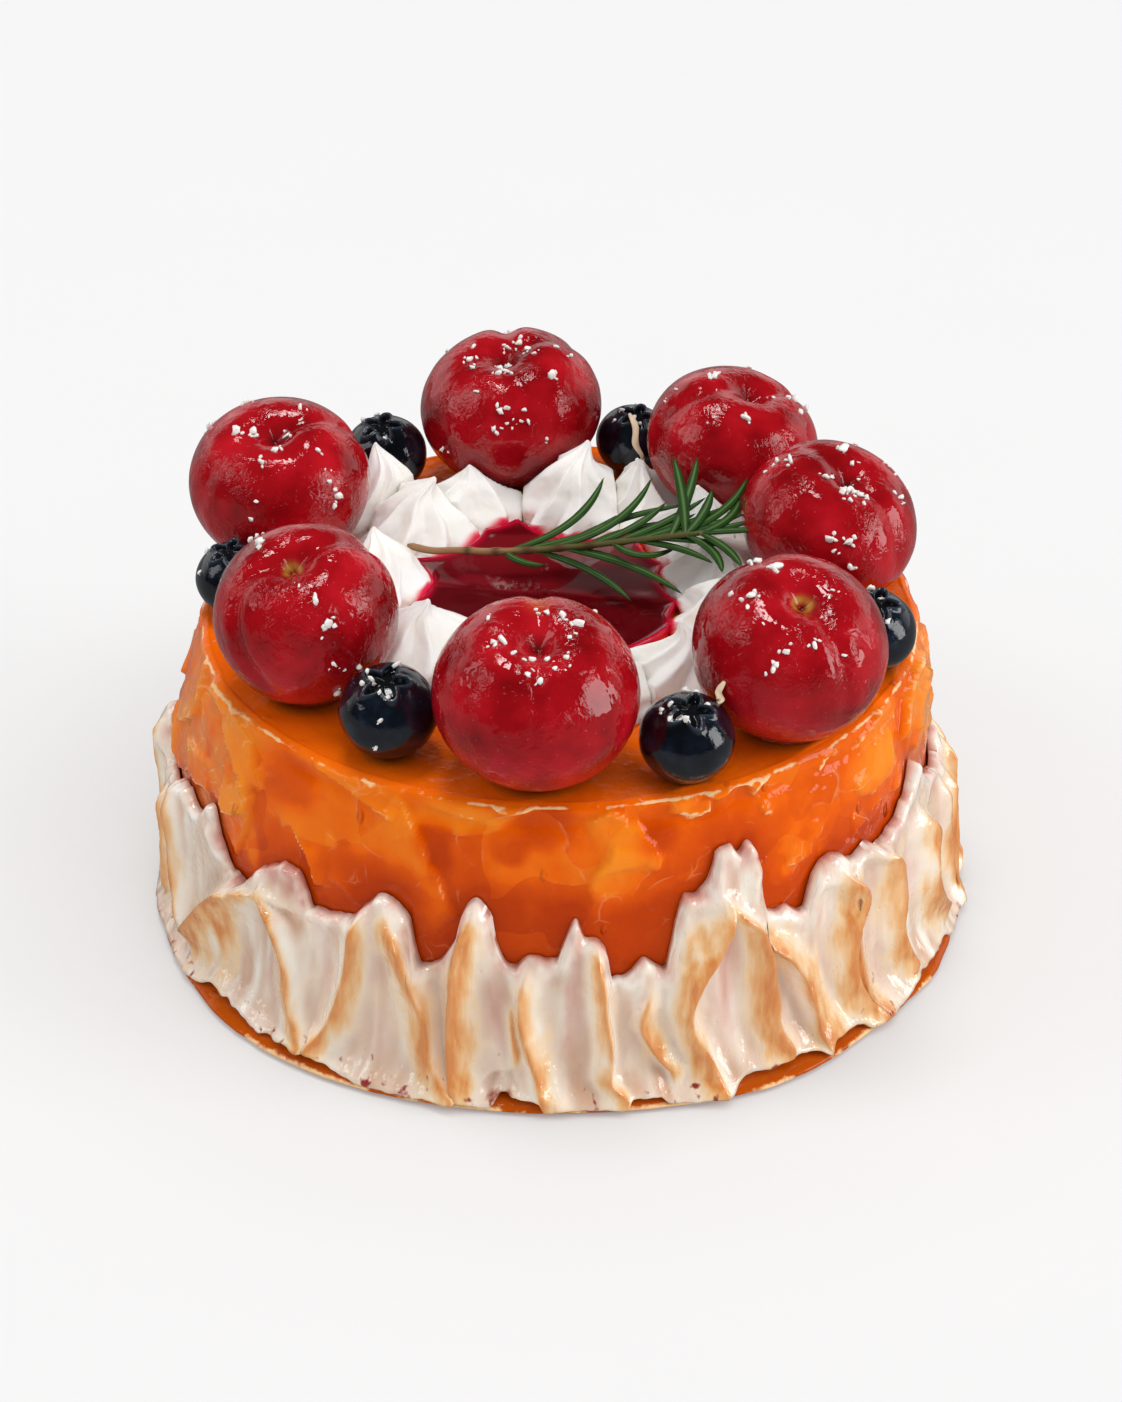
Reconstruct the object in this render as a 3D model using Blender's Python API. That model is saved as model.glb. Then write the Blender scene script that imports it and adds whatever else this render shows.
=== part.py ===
"""Petit mousse cake: orange glazed mousse, a toasted meringue skirt, and a fruit crown.

Every length below is in millimetres and becomes metres in add_solid. The origin is the centre of
the flat base, +Z is up and -Y is the side that the fruit faces. Angles round the cake are in
degrees, with 0 at +X and -90 at the front.
"""

import random

import bmesh
import bpy
import numpy as np
from mathutils import Vector

MM = 0.001
GAP = 0.3  # air left between neighbouring pieces
FACET_GAP = 0.55  # the same, where a faceted hollow follows a round fruit
SHARP_ANGLE = np.radians(50.0)

# The mousse body: outline as (height, radius), from the base up to the flat top.
TOP = 45.4
FOOT_RADIUS = 60.0
BODY_OUTLINE = (
    (0.0, FOOT_RADIUS - 0.7),
    (0.5, FOOT_RADIUS),
    (1.2, FOOT_RADIUS - 0.5),
    (2.7, 54.9),
    (15.0, 54.1),
    (21.0, 53.9),
    (26.0, 53.6),
    (31.0, 53.3),
    (36.0, 52.8),
    (40.5, 52.2),
    (43.6, 51.4),
    (45.1, 49.9),
    (TOP, 48.0),
)
WALL_BASE = 2.7  # height where the wall leaves the pooled foot
BODY_COLUMNS = 80

# Where the pooled foot spreads furthest: (angle, half width in degrees, spread).
FOOT_SWELLS = ((-131.0, 22.0, 1.7), (-60.0, 14.0, 1.5), (-28.0, 7.0, 0.7), (40.0, 24.0, 0.9), (128.0, 30.0, 1.1))

# Thick places in the glaze: (angle, height, half width in degrees, half height, rise).
GLAZE_SMEARS = (
    (180.0, 27.0, 26.0, 12.0, 2.2),
    (-156.0, 40.0, 5.0, 5.0, 0.8),
    (-145.5, 34.5, 4.5, 4.5, 0.9),
    (-109.0, 38.0, 9.0, 5.0, 0.4),
    (-80.0, 38.0, 9.0, 5.0, 0.4),
    (-38.0, 38.0, 11.0, 6.0, 0.4),
    (5.0, 35.0, 14.0, 9.0, 0.5),
    (62.0, 36.0, 12.0, 7.0, 0.4),
    (118.0, 34.0, 12.0, 8.0, 0.5),
)

# The meringue skirt is a row of knife strokes. A tongue is (angle, top height, half width).
SKIRT_VALLEY = 20.0
SKIRT_COLUMNS = 168
SKIRT_LIP_HEIGHT = 2.3
# Thickness between the ridges as (share of the way up, thickness).
SKIRT_BELLY = ((0.0, 4.7), (0.08, 3.8), (0.25, 2.8), (0.5, 2.4), (0.75, 1.9), (1.0, 1.2))
FRONT_TONGUES = (
    (-163, 26.0, 5.0),
    (-153, 28.0, 3.6),
    (-139, 22.3, 6.0),
    (-124, 24.0, 5.0),
    (-116, 29.5, 4.2),
    (-101.5, 31.5, 2.8),
    (-94, 23.2, 4.0),
    (-87.5, 28.5, 2.2),
    (-78, 21.5, 3.0),
    (-70, 33.0, 3.4),
    (-64.5, 37.0, 4.2),
    (-57, 25.0, 4.5),
    (-48, 29.5, 3.8),
    (-39.5, 28.0, 4.5),
    (-31, 26.5, 4.0),
    (-23, 33.0, 4.4),
    (-14, 27.0, 5.0),
)
# A ridge is (angle at its top, half way down and at its foot, top height, foot height, rise).
FRONT_RIDGES = (
    (-164, -163, -160, 24, 5, 1.9),
    (-143, -149, -156, 21, 5, 2.4),
    (-136, -131, -127, 21, 3, 2.4),
    (-118.5, -121.5, -125, 27, 3, 2.0),
    (-115, -110.5, -105, 27, 2, 2.2),
    (-102, -104, -103.5, 29, 3, 1.9),
    (-94.5, -94, -91, 21, 2, 2.1),
    (-84.5, -84, -82, 24, 2.5, 2.0),
    (-77, -77, -75, 18, 5, 1.2),
    (-67, -72.5, -69, 29, 2, 2.3),
    (-64, -61, -57, 29, 4, 2.1),
    (-59, -53.5, -50, 22, 3, 2.1),
    (-46, -46.5, -43, 27, 4, 2.0),
    (-42, -42, -38, 25, 2, 1.8),
    (-37, -34, -30, 27, 4, 1.9),
    (-24, -23, -17, 25, 5, 1.9),
)
RIDGE_HALF_WIDTH = 2.6  # degrees
BACK_START = -6.0
BACK_END = 188.0
BACK_STEP = 8.6  # degrees from one ridge to the next round the back
BACK_RISE = 1.8

# Fruit: (x, y, radius, half height over radius, lean towards +X, lean towards the front,
# direction of the seam in degrees round the fruit's own stalk hollow).
CHERRIES = (
    (-3.1, -43.3, 13.9, 0.87, 0.03, 0.28, -90),
    (31.2, -31.8, 13.4, 0.90, 0.14, 0.34, -50),
    (38.8, 5.6, 12.8, 0.84, 0.30, 0.26, -40),
    (25.9, 29.6, 13.0, 0.84, 0.30, 0.05, 20),
    (-7.4, 41.0, 13.8, 0.82, -0.12, 0.16, 40),
    (-41.0, 17.0, 13.3, 0.86, -0.04, 0.28, 25),
    (-34.8, -22.7, 12.8, 0.95, -0.16, 0.32, -130),
)
CHERRY_COLUMNS = 16
CHERRY_POLAR = (0, 13, 25, 39, 56, 76, 97, 118, 139, 160, 180)
DIMPLE_DEPTH = 0.26  # of the radius
DIMPLE_WIDTH = 0.34
SEAM_DEPTH = 0.055

# Berries: (x, y, radius, lean towards +X, lean towards the front).
BLUEBERRIES = (
    (-23.0, -38.2, 6.8, -0.05, 0.30),
    (17.0, -44.6, 6.5, 0.05, 0.30),
    (43.6, -16.2, 6.3, 0.10, 0.25),
    (11.3, 42.0, 5.7, 0.10, 0.25),
    (-26.4, 36.5, 6.3, -0.10, 0.20),
    (-46.6, 0.0, 5.6, -0.15, 0.15),
)
BERRY_COLUMNS = 15  # three for each of the crown's five points
BERRY_POLAR = (0, 15, 27, 37, 62, 90, 118, 148, 180)
BERRY_HALF_HEIGHT = 0.9
CROWN_RISE = 0.09  # of the radius
CROWN_DISH = 0.10

# Sugar: how many grains are fused to each cherry and berry, the largest ones only.
CHERRY_GRAINS = (7, 4, 5, 3, 7, 5, 3)
BERRY_GRAINS = (3, 3, 1, 0, 1, 0)
GRAIN_SIZE = (0.55, 0.95)
GRAIN_BAND = (20.0, 74.0)  # degrees from the stalk hollow
GRAIN_SINK = 0.15
GRAIN_SPACING = 2.4
GRAIN_CLEARANCE = 2.2
GRAIN_SEED = 23

# Piped cream: (x, y, height, base radius, lean of the tip along x and y, turn of the ribs).
CREAM = (
    (-21.0, 21.5, 9.5, 10.0, 1.0, 0.5, 0),
    (-27.5, 26.5, 12.5, 8.0, 1.0, 0.0, 20),
    (-13.0, 28.5, 8.5, 8.5, 0.0, 0.0, 10),
    (3.4, 27.0, 12.5, 10.0, -0.5, 0.0, 5),
    (13.0, 27.5, 10.0, 9.0, -0.5, 0.0, 30),
    (20.5, 17.0, 11.0, 9.0, 1.0, 0.8, 15),
    (23.5, 6.0, 8.5, 9.5, -1.0, 0.0, 40),
    (25.0, -5.5, 9.0, 9.5, -0.5, 0.5, 0),
    (18.5, -20.0, 9.5, 10.5, -0.5, 0.0, 25),
    (4.8, -25.0, 9.0, 9.5, 0.0, 0.0, 10),
    (-9.0, -25.0, 9.0, 9.5, 0.0, 0.0, 35),
    (-20.0, -14.0, 9.5, 10.0, 0.5, 0.0, 0),
    (-27.5, 4.5, 9.5, 9.0, 1.7, 1.5, 20),
)
CREAM_RIBS = 7
CREAM_OUTLINE = ((0.0, 0.97), (0.16, 1.0), (0.38, 0.84), (0.6, 0.56), (0.8, 0.28), (0.93, 0.12))
RIB_DEPTH = 0.09
TIP_WIDTH = 0.6  # least cream kept round a tip that leans on a fruit
RIB_TWIST = 35.0  # degrees from base to tip

# The red sauce fills the middle up to this depth, from this point out to the cream.
SAUCE_DEPTH = 1.5
SAUCE_CENTRE = (-2.0, 4.0)
SAUCE_REACH = 20.5
SAUCE_COLUMNS = 48

# The rosemary sprig: stem points as (x, y, height over the top).
STEM_POINTS = (
    (-22.2, 9.6, 4.0),
    (-14.4, 8.6, 4.6),
    (-9.1, 7.2, 5.2),
    (0.1, 5.4, 6.8),
    (8.7, 3.6, 8.8),
    (15.1, 2.2, 10.4),
    (20.1, 1.2, 11.6),
)
STEM_RADIUS = 0.85
STEM_SIDES = 5
# A needle is (place along the stem from 0 to 1, tip x, tip y, tip height over the top, sideways bow).
NEEDLES = (
    (0.34, 6.4, 18.6, 11.0, -3.4),
    (0.46, 13.4, 16.7, 12.0, -4.3),
    (0.50, 18.6, 10.7, 11.0, 2.0),
    (0.58, 17.9, 7.7, 10.0, 1.2),
    (0.95, 16.6, 17.0, 15.5, -0.4),
    (0.87, 20.1, 16.7, 15.5, -0.5),
    (0.83, 27.2, 12.8, 14.2, -2.2),
    (0.98, 26.0, 8.8, 13.0, -1.4),
    (0.33, -2.1, 5.4, 4.0, -1.2),
    (0.42, 10.1, -3.0, 3.0, 1.9),
    (0.53, 17.2, -7.1, 6.5, 1.9),
    (0.61, 16.6, 3.3, 8.0, -2.9),
    (0.90, 23.0, -6.3, 9.5, 1.4),
    (1.00, 25.7, -6.4, 10.5, 0.8),
    (0.67, 19.5, 7.0, 11.5, -0.9),
    (0.74, 18.0, 7.4, 10.5, -0.5),
)
NEEDLE_WIDTH = 1.9
NEEDLE_THICKNESS = 0.7
NEEDLE_STATIONS = (0.0, 0.25, 0.55, 0.82)
REST_CLEARANCE = 1.05  # centre of stem or needle over the cream that it lies on


def material(name, colour, roughness):
    """A food surface: colour is linear red, green, blue; nothing on the cake is metallic."""
    made = bpy.data.materials.new(name)
    made.use_nodes = True
    shader = made.node_tree.nodes["Principled BSDF"]
    shader.inputs["Base Color"].default_value = (*colour, 1.0)
    shader.inputs["Roughness"].default_value = roughness
    shader.inputs["Metallic"].default_value = 0.0
    return made


def add_solid(name, points, faces, finish):
    """One closed object from points in millimetres, with its faces turned outwards."""
    mesh = bpy.data.meshes.new(name)
    mesh.from_pydata([tuple(p) for p in np.asarray(points) * MM], [], faces)
    shell = bmesh.new()
    shell.from_mesh(mesh)
    bmesh.ops.recalc_face_normals(shell, faces=shell.faces)
    shell.to_mesh(mesh)
    shell.free()
    mesh.shade_smooth()
    mesh.set_sharp_from_angle(angle=SHARP_ANGLE)
    mesh.materials.append(finish)
    obj = bpy.data.objects.new(name, mesh)
    bpy.context.scene.collection.objects.link(obj)
    return obj


def ring_faces(rows, columns, looped):
    """Quads between rings of points; a looped grid also joins its last ring to its first."""
    row, column = np.meshgrid(np.arange(rows if looped else rows - 1), np.arange(columns), indexing="ij")
    after, beside = (row + 1) % rows, (column + 1) % columns
    corners = (row * columns + column, row * columns + beside, after * columns + beside, after * columns + column)
    return [tuple(int(i) for i in quad) for quad in np.stack(corners, -1).reshape(-1, 4)]


def add_round(name, rings, first_pole, last_pole, finish):
    """A closed shape of rings (rows, columns, 3) with one point closing it at each end."""
    rows, columns = rings.shape[:2]
    points = np.vstack([rings.reshape(-1, 3), first_pole, last_pole])
    faces = ring_faces(rows, columns, looped=False)
    start = (rows - 1) * columns
    for column in range(columns):
        beside = (column + 1) % columns
        faces.append((beside, column, rows * columns))
        faces.append((start + column, start + beside, rows * columns + 1))
    return add_solid(name, points, faces, finish)


def angle_between(angle, centre):
    """Signed difference of two directions round the cake, in degrees."""
    return (angle - centre + 180.0) % 360.0 - 180.0


def glaze_rise(angle, height):
    """How far the thick smears of glaze stand out from the plain wall."""
    rise = np.zeros(np.broadcast(angle, height).shape)
    for centre, level, half_width, half_height, depth in GLAZE_SMEARS:
        across = angle_between(angle, centre) / half_width
        up = (height - level) / half_height
        rise += depth * np.exp(-(across**2) - up**2)
    return rise * np.clip((height - WALL_BASE) / 4.0, 0.0, 1.0) * np.clip((TOP - height) / 1.5, 0.0, 1.0)


def wall_radius(angle, height):
    """Radius of the glazed wall, smears included."""
    levels, radii = np.array(BODY_OUTLINE).T
    return np.interp(height, levels, radii) + glaze_rise(angle, height)


def around(radius, angle, height):
    """Points from a radius, an angle in degrees and a height."""
    turn = np.radians(angle)
    return np.stack(np.broadcast_arrays(radius * np.cos(turn), radius * np.sin(turn), height), -1)


def build_body(finish):
    """The mousse with its glaze, flat below, and its pooled foot."""
    angles = np.linspace(-180.0, 180.0, BODY_COLUMNS, endpoint=False)[None, :]
    levels, radii = np.array(BODY_OUTLINE).T[:, :, None]
    foot = sum(swell * np.exp(-((angle_between(angles, at) / width) ** 2)) for at, width, swell in FOOT_SWELLS)
    foot = np.where(levels < WALL_BASE, foot, 0.0)
    rings = around(radii + glaze_rise(angles, levels) + foot, angles, levels)
    add_round("cake_body", rings, (0.0, 0.0, 0.0), (0.0, 0.0, TOP), finish)


def back_strokes():
    """Tongues and ridges round the back, on the same rhythm as the front ones."""
    draw = random.Random(7)
    tongues, ridges = [], []
    angle = BACK_START
    while angle < BACK_END:
        peak = draw.uniform(22.0, 28.5)
        lean = draw.uniform(-4.0, 4.0)
        tongues.append((angle, peak, draw.uniform(3.2, 4.8)))
        ridges.append((angle, angle + lean * 0.6, angle + lean, peak - 3.0, draw.uniform(2.0, 5.0), BACK_RISE))
        angle += BACK_STEP * draw.uniform(0.85, 1.15)
    return tongues, ridges


def skirt_top(angle, tongues):
    """Height of the torn top edge: the highest tongue at each angle, over the valley level."""
    height = np.full(angle.shape, SKIRT_VALLEY)
    for centre, peak, half_width in tongues:
        across = np.abs(angle_between(angle, centre)) / half_width
        height = np.maximum(height, SKIRT_VALLEY + (peak - SKIRT_VALLEY) * np.exp(-(across**3)))
    return height


def ridge_rise(angle, height, ridges):
    """Sharp crests where two strokes of the knife meet, standing out from the skirt."""
    rise = np.zeros(np.broadcast(angle, height).shape)
    for top_angle, middle_angle, foot_angle, top, foot, depth in ridges:
        middle = 0.5 * (top + foot)
        crest = np.interp(height, (foot, middle, top), (foot_angle, middle_angle, top_angle))
        across = np.abs(angle_between(angle, crest)) / RIDGE_HALF_WIDTH
        along = np.clip((top + 3.0 - height) / 6.0, 0.0, 1.0) * np.clip((height - foot + 3.0) / 4.0, 0.0, 1.0)
        rise = np.maximum(rise, depth * along * np.clip(1.0 - across, 0.0, 1.0) ** 0.8)
    return rise


def build_skirt(finish):
    """A ring of toasted meringue round the lower wall, thick at the foot and torn at the top."""
    tongues, ridges = back_strokes()
    tongues += FRONT_TONGUES
    ridges += FRONT_RIDGES
    angles = np.linspace(-180.0, 180.0, SKIRT_COLUMNS, endpoint=False)
    top = skirt_top(angles, tongues)
    lip = SKIRT_LIP_HEIGHT + 0.8 * np.sin(np.radians(7.0 * angles + 40.0)) * np.sin(np.radians(3.0 * angles))
    inner_foot = WALL_BASE + 0.9
    rings = []
    for share in (0.0, 0.34, 0.68, 1.0):
        height = inner_foot + share * (top - 0.4 - inner_foot)
        rings.append(around(wall_radius(angles, height) + GAP + 0.05, angles, height))
    for share in (1.0, 0.86, 0.66, 0.44, 0.22, 0.08):
        height = lip + share * (top - lip)
        belly = np.interp(share, *np.array(SKIRT_BELLY).T)
        rise = ridge_rise(angles, height, ridges) * (1.0 - share**4)
        rings.append(around(wall_radius(angles, height) + GAP + belly + rise, angles, height))
    under = ridge_rise(angles, lip + 1.0, ridges) * 0.4
    rings.append(around(wall_radius(angles, WALL_BASE) + SKIRT_BELLY[0][1] + under, angles, lip))
    grid = np.stack(rings)
    faces = ring_faces(len(rings), SKIRT_COLUMNS, looped=True)
    add_solid("meringue_skirt", grid.reshape(-1, 3), faces, finish)


def leaned(points, lean_x, lean_front):
    """Turns a fruit's upright axis so that its stalk end leans towards +X and the front."""
    axis = Vector((lean_x, -lean_front, 1.0)).normalized()
    turn = Vector((0.0, 0.0, 1.0)).rotation_difference(axis).to_matrix()
    return points @ np.array(turn).T


def fruit_rings(polar, columns, outline):
    """Rings and the two end points of a fruit; outline turns (polar, azimuth) into points."""
    across = np.radians(np.array(polar, float))[:, None]
    turn = np.linspace(0.0, 2.0 * np.pi, columns, endpoint=False)[None, :]
    return outline(across, turn)


def cherry_outline(half_height, seam):
    """A round fruit with a stalk hollow and a shallow seam from it down one side."""

    def outline(across, turn):
        side = np.sin(across)
        off_seam = np.radians(angle_between(np.degrees(turn), seam))
        groove = SEAM_DEPTH * np.exp(-((off_seam / 0.32) ** 2)) * np.clip(side * 1.6, 0.0, 1.0)
        upper = np.clip(np.cos(across) + 0.35, 0.0, 1.0)
        radius = 1.0 - groove * upper
        hollow = DIMPLE_DEPTH * np.exp(-((across / DIMPLE_WIDTH) ** 2))
        height = half_height * np.cos(across) - hollow
        return np.stack(
            np.broadcast_arrays(radius * side * np.cos(turn), radius * side * np.sin(turn), height * radius), -1
        )

    return outline


def berry_outline(across, turn):
    """A small round berry with a dished crown that has five points."""
    side = np.sin(across)
    degrees = np.degrees(across)
    points = 0.5 + 0.5 * np.cos(5.0 * turn)
    crown = CROWN_RISE * np.exp(-(((degrees - 27.0) / 6.0) ** 2)) * points
    dish = CROWN_DISH * np.exp(-((degrees / 20.0) ** 4))
    height = BERRY_HALF_HEIGHT * np.cos(across) - dish + crown
    return np.stack(np.broadcast_arrays(side * np.cos(turn), side * np.sin(turn), height), -1)


def sugar_grains(name, surface, count, neighbours, draw):
    """Small sugar crystals half sunk in the upper side of a fruit, clear of its neighbours."""
    grains = bpy.data.collections.new(name + "_grains")
    bpy.context.scene.collection.children.link(grains)
    spots = []
    while len(spots) < count:
        across = np.radians(draw.uniform(*GRAIN_BAND))
        spot = surface(across, draw.uniform(0.0, 2.0 * np.pi))
        clear = all(np.linalg.norm(spot - centre) > radius + GRAIN_CLEARANCE for centre, radius in neighbours)
        apart = all(np.linalg.norm(spot - other) > GRAIN_SPACING for other in spots)
        if not (clear and apart):
            continue
        spots.append(spot)
        crystal = bmesh.new()
        bmesh.ops.create_icosphere(crystal, subdivisions=1, radius=draw.uniform(*GRAIN_SIZE) * MM)
        mesh = bpy.data.meshes.new(name + "_grain")
        crystal.to_mesh(mesh)
        crystal.free()
        grain = bpy.data.objects.new(name + "_grain", mesh)
        grain.location = spot * MM
        grain.rotation_euler = [draw.uniform(0.0, np.pi) for _ in range(3)]
        grain.scale = (1.0, draw.uniform(0.7, 1.0), draw.uniform(0.65, 0.9))
        grains.objects.link(grain)
    return grains


def fuse(obj, pieces):
    """Joins a collection of closed pieces to an object for good, and removes the pieces."""
    union = obj.modifiers.new("fuse", "BOOLEAN")
    union.operation = "UNION"
    union.operand_type = "COLLECTION"
    union.collection = pieces
    bpy.context.view_layer.update()
    graph = bpy.context.evaluated_depsgraph_get()
    fused = bpy.data.meshes.new_from_object(obj.evaluated_get(graph))
    obj.modifiers.clear()
    obj.data = fused
    for piece in list(pieces.objects):
        bpy.data.objects.remove(piece)
    bpy.data.collections.remove(pieces)


def add_fruit(name, spot, radius, leans, outline, polar, columns, finish):
    """One fruit resting on the top; returns it with a function for the points of its skin."""
    grid = leaned(radius * fruit_rings(polar, columns, outline), *leans)
    shift = np.array([*spot, TOP + GAP - grid[..., 2].min()])
    grid += shift

    def surface(across, turn):
        sunk = (radius - GRAIN_SINK) * outline(np.array(across), np.array(turn))
        return leaned(sunk, *leans) + shift

    return add_round(name, grid[1:-1], grid[0, 0], grid[-1, 0], finish), surface


def build_fruit(cherry_finish, berry_finish):
    """The crown of cherries and blueberries, each with its sugar."""
    balls = fruit_balls()
    draw = random.Random(GRAIN_SEED)
    fruits = []
    for number, (x, y, radius, flat, lean_x, lean_front, seam) in enumerate(CHERRIES):
        skin = cherry_outline(flat, seam)
        shape = (f"cherry_{number + 1}", (x, y), radius, (lean_x, lean_front), skin, CHERRY_POLAR)
        fruits.append((shape, CHERRY_COLUMNS, cherry_finish, CHERRY_GRAINS[number]))
    for number, (x, y, radius, lean_x, lean_front) in enumerate(BLUEBERRIES):
        shape = (f"blueberry_{number + 1}", (x, y), radius, (lean_x, lean_front), berry_outline, BERRY_POLAR)
        fruits.append((shape, BERRY_COLUMNS, berry_finish, BERRY_GRAINS[number]))
    for number, (shape, columns, finish, grain_count) in enumerate(fruits):
        fruit, surface = add_fruit(*shape, columns, finish)
        others = balls[:number] + balls[number + 1 :]
        fuse(fruit, sugar_grains(shape[0], surface, grain_count, others, draw))


def fruit_balls():
    """Centre and radius of a ball round each fruit, for what has to stay clear of it."""
    balls = [(np.array([x, y, TOP + GAP + radius * flat]), radius) for x, y, radius, flat, *_ in CHERRIES]
    balls += [(np.array([x, y, TOP + GAP + radius * BERRY_HALF_HEIGHT]), radius) for x, y, radius, *_ in BLUEBERRIES]
    return balls


def pushed_clear(spot, height, balls):
    """Moves a place sideways until it lies outside every ball at that height."""
    for centre, radius in balls:
        slice_square = (radius + FACET_GAP) ** 2 - (height - centre[2]) ** 2
        offset = spot - centre[:2]
        distance = np.linalg.norm(offset)
        wanted = np.sqrt(max(slice_square, 0.0)) + TIP_WIDTH
        if slice_square > 0.0 and distance < wanted:
            spot = centre[:2] + offset * wanted / distance
    return spot


def reach_past_balls(origin, direction, height, reach, balls):
    """Shortens a level ray so that it stops before each ball."""
    for centre, radius in balls:
        level = radius + FACET_GAP
        slice_square = level**2 - (height - centre[2]) ** 2
        offset = np.array(centre[:2]) - origin
        along = direction @ offset
        inside = slice_square - (offset @ offset - along**2)
        stop = np.where(inside > 0.0, along - np.sqrt(np.clip(inside, 0.0, None)), np.inf)
        reach = np.where((stop > 0.0) & (stop < reach), stop, reach)
    return reach


def reach_past_planes(origin, direction, reach, radius, number):
    """Shortens a level ray so that it stays on this dollop's side of each neighbour."""
    for other, (x, y, _, other_radius, *_) in enumerate(CREAM):
        offset = np.array([x, y]) - origin
        distance = np.linalg.norm(offset)
        if other == number or distance > radius + other_radius:
            continue
        share = distance * radius / (radius + other_radius) - GAP / 2.0
        towards = direction @ (offset / distance)
        stop = np.where(towards > 0.05, share / np.maximum(towards, 0.05), np.inf)
        reach = np.minimum(reach, stop)
    return reach


def build_cream(finish):
    """Piped dollops: ribbed, twisted a little, and pressed flat where they meet."""
    columns = 2 * CREAM_RIBS
    turn = np.linspace(0.0, 2.0 * np.pi, columns, endpoint=False)
    balls = fruit_balls()
    for number, (x, y, height, radius, tip_x, tip_y, twist) in enumerate(CREAM):
        origin = np.array([x, y])
        rings = []
        for share, width in CREAM_OUTLINE:
            level = TOP + GAP + share * height
            angle = turn + np.radians(twist + RIB_TWIST * share)
            direction = np.stack([np.cos(angle), np.sin(angle)], -1)
            rib = 1.0 - RIB_DEPTH * (np.arange(columns) % 2)
            reach = radius * width * rib
            middle = pushed_clear(origin + np.array([tip_x, tip_y]) * share**2, level, balls)
            reach = reach_past_planes(middle, direction, reach, radius, number)
            reach = reach_past_balls(middle, direction, level, reach, balls)
            ring = middle + direction * reach[:, None]
            rings.append(np.column_stack([ring, np.full(columns, level)]))
        level = TOP + GAP + height
        tip = (*pushed_clear(origin + np.array([tip_x, tip_y]), level, balls), level)
        add_round(f"cream_dollop_{number + 1}", np.stack(rings), (x, y, TOP + GAP), tip, finish)


def build_sauce(finish):
    """A level pool of sauce that fills the middle as far as the cream lets it."""
    origin = np.array(SAUCE_CENTRE)
    turn = np.linspace(0.0, 2.0 * np.pi, SAUCE_COLUMNS, endpoint=False)
    direction = np.stack([np.cos(turn), np.sin(turn)], -1)
    reach = np.full(SAUCE_COLUMNS, SAUCE_REACH)
    for x, y, _, radius, *_ in CREAM:
        offset = np.array([x, y]) - origin
        along = direction @ offset
        inside = (radius + GAP) ** 2 - (offset @ offset - along**2)
        stop = along - np.sqrt(np.clip(inside, 0.0, None))
        reach = np.where((inside > 0.0) & (stop > 0.0), np.minimum(reach, stop), reach)
    floor, level = TOP + GAP, TOP + GAP + SAUCE_DEPTH
    ring = origin + direction * reach[:, None]
    rings = np.stack([np.column_stack([ring, np.full(SAUCE_COLUMNS, z)]) for z in (floor, level)])
    add_round("sauce_pool", rings, (*origin, floor), (*origin, level), finish)


def cream_height(x, y):
    """Height of the cream over the cake's top at a place, without its ribs."""
    shares, widths = np.array(CREAM_OUTLINE + ((1.0, 0.0),)).T
    found = 0.0
    for cx, cy, height, radius, *_ in CREAM:
        distance = np.hypot(x - cx, y - cy) / radius
        found = max(found, height * np.interp(-distance, -widths[1:], shares[1:]) if distance < 1.0 else 0.0)
    return found


def smooth_path(points, count):
    """Points evenly spaced along a Catmull-Rom curve through the given ones."""
    knots = np.array(points, float)
    knots = np.vstack([2 * knots[0] - knots[1], knots, 2 * knots[-1] - knots[-2]])
    places = np.linspace(0.0, len(points) - 1.0, count)
    piece = np.minimum(places.astype(int), len(points) - 2)
    part = (places - piece)[:, None]
    before, start, end, after = (knots[piece + k] for k in range(4))
    return 0.5 * (
        2 * start
        + (end - before) * part
        + (2 * before - 5 * start + 4 * end - after) * part**2
        + (3 * start - before - 3 * end + after) * part**3
    )


def lifted(path):
    """Raises a path over the cream wherever it would touch it, and sets it on the cake."""
    rest = np.array([cream_height(x, y) for x, y, _ in path]) + REST_CLEARANCE
    path[:, 2] = np.maximum(path[:, 2], TOP + GAP + rest)
    return path


def add_stem(path, finish):
    """The woody stem: a six-sided tube that thins towards the young end."""
    heading = np.gradient(path, axis=0)
    heading /= np.linalg.norm(heading, axis=1)[:, None]
    side = np.cross(heading, (0.0, 0.0, 1.0))
    side /= np.linalg.norm(side, axis=1)[:, None]
    up = np.cross(side, heading)
    turn = np.linspace(0.0, 2.0 * np.pi, STEM_SIDES, endpoint=False)
    radius = STEM_RADIUS * np.linspace(1.0, 0.6, len(path))[:, None, None]
    spread = side[:, None] * np.cos(turn)[None, :, None] + up[:, None] * np.sin(turn)[None, :, None]
    return add_round("rosemary_sprig", path[:, None] + radius * spread, path[0], path[-1], finish)


def needle_points(start, tip, bow):
    """Centre line of one needle: it leaves the stem and bows to one side on its way to the tip."""
    along = tip - start
    aside = np.array([-along[1], along[0], 0.0]) / np.hypot(along[0], along[1])
    control = 0.5 * (start + tip) + 2.0 * bow * aside
    share = np.array(NEEDLE_STATIONS + (1.0,))[:, None]
    return lifted((1.0 - share) ** 2 * start + 2.0 * share * (1.0 - share) * control + share**2 * tip)


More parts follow.
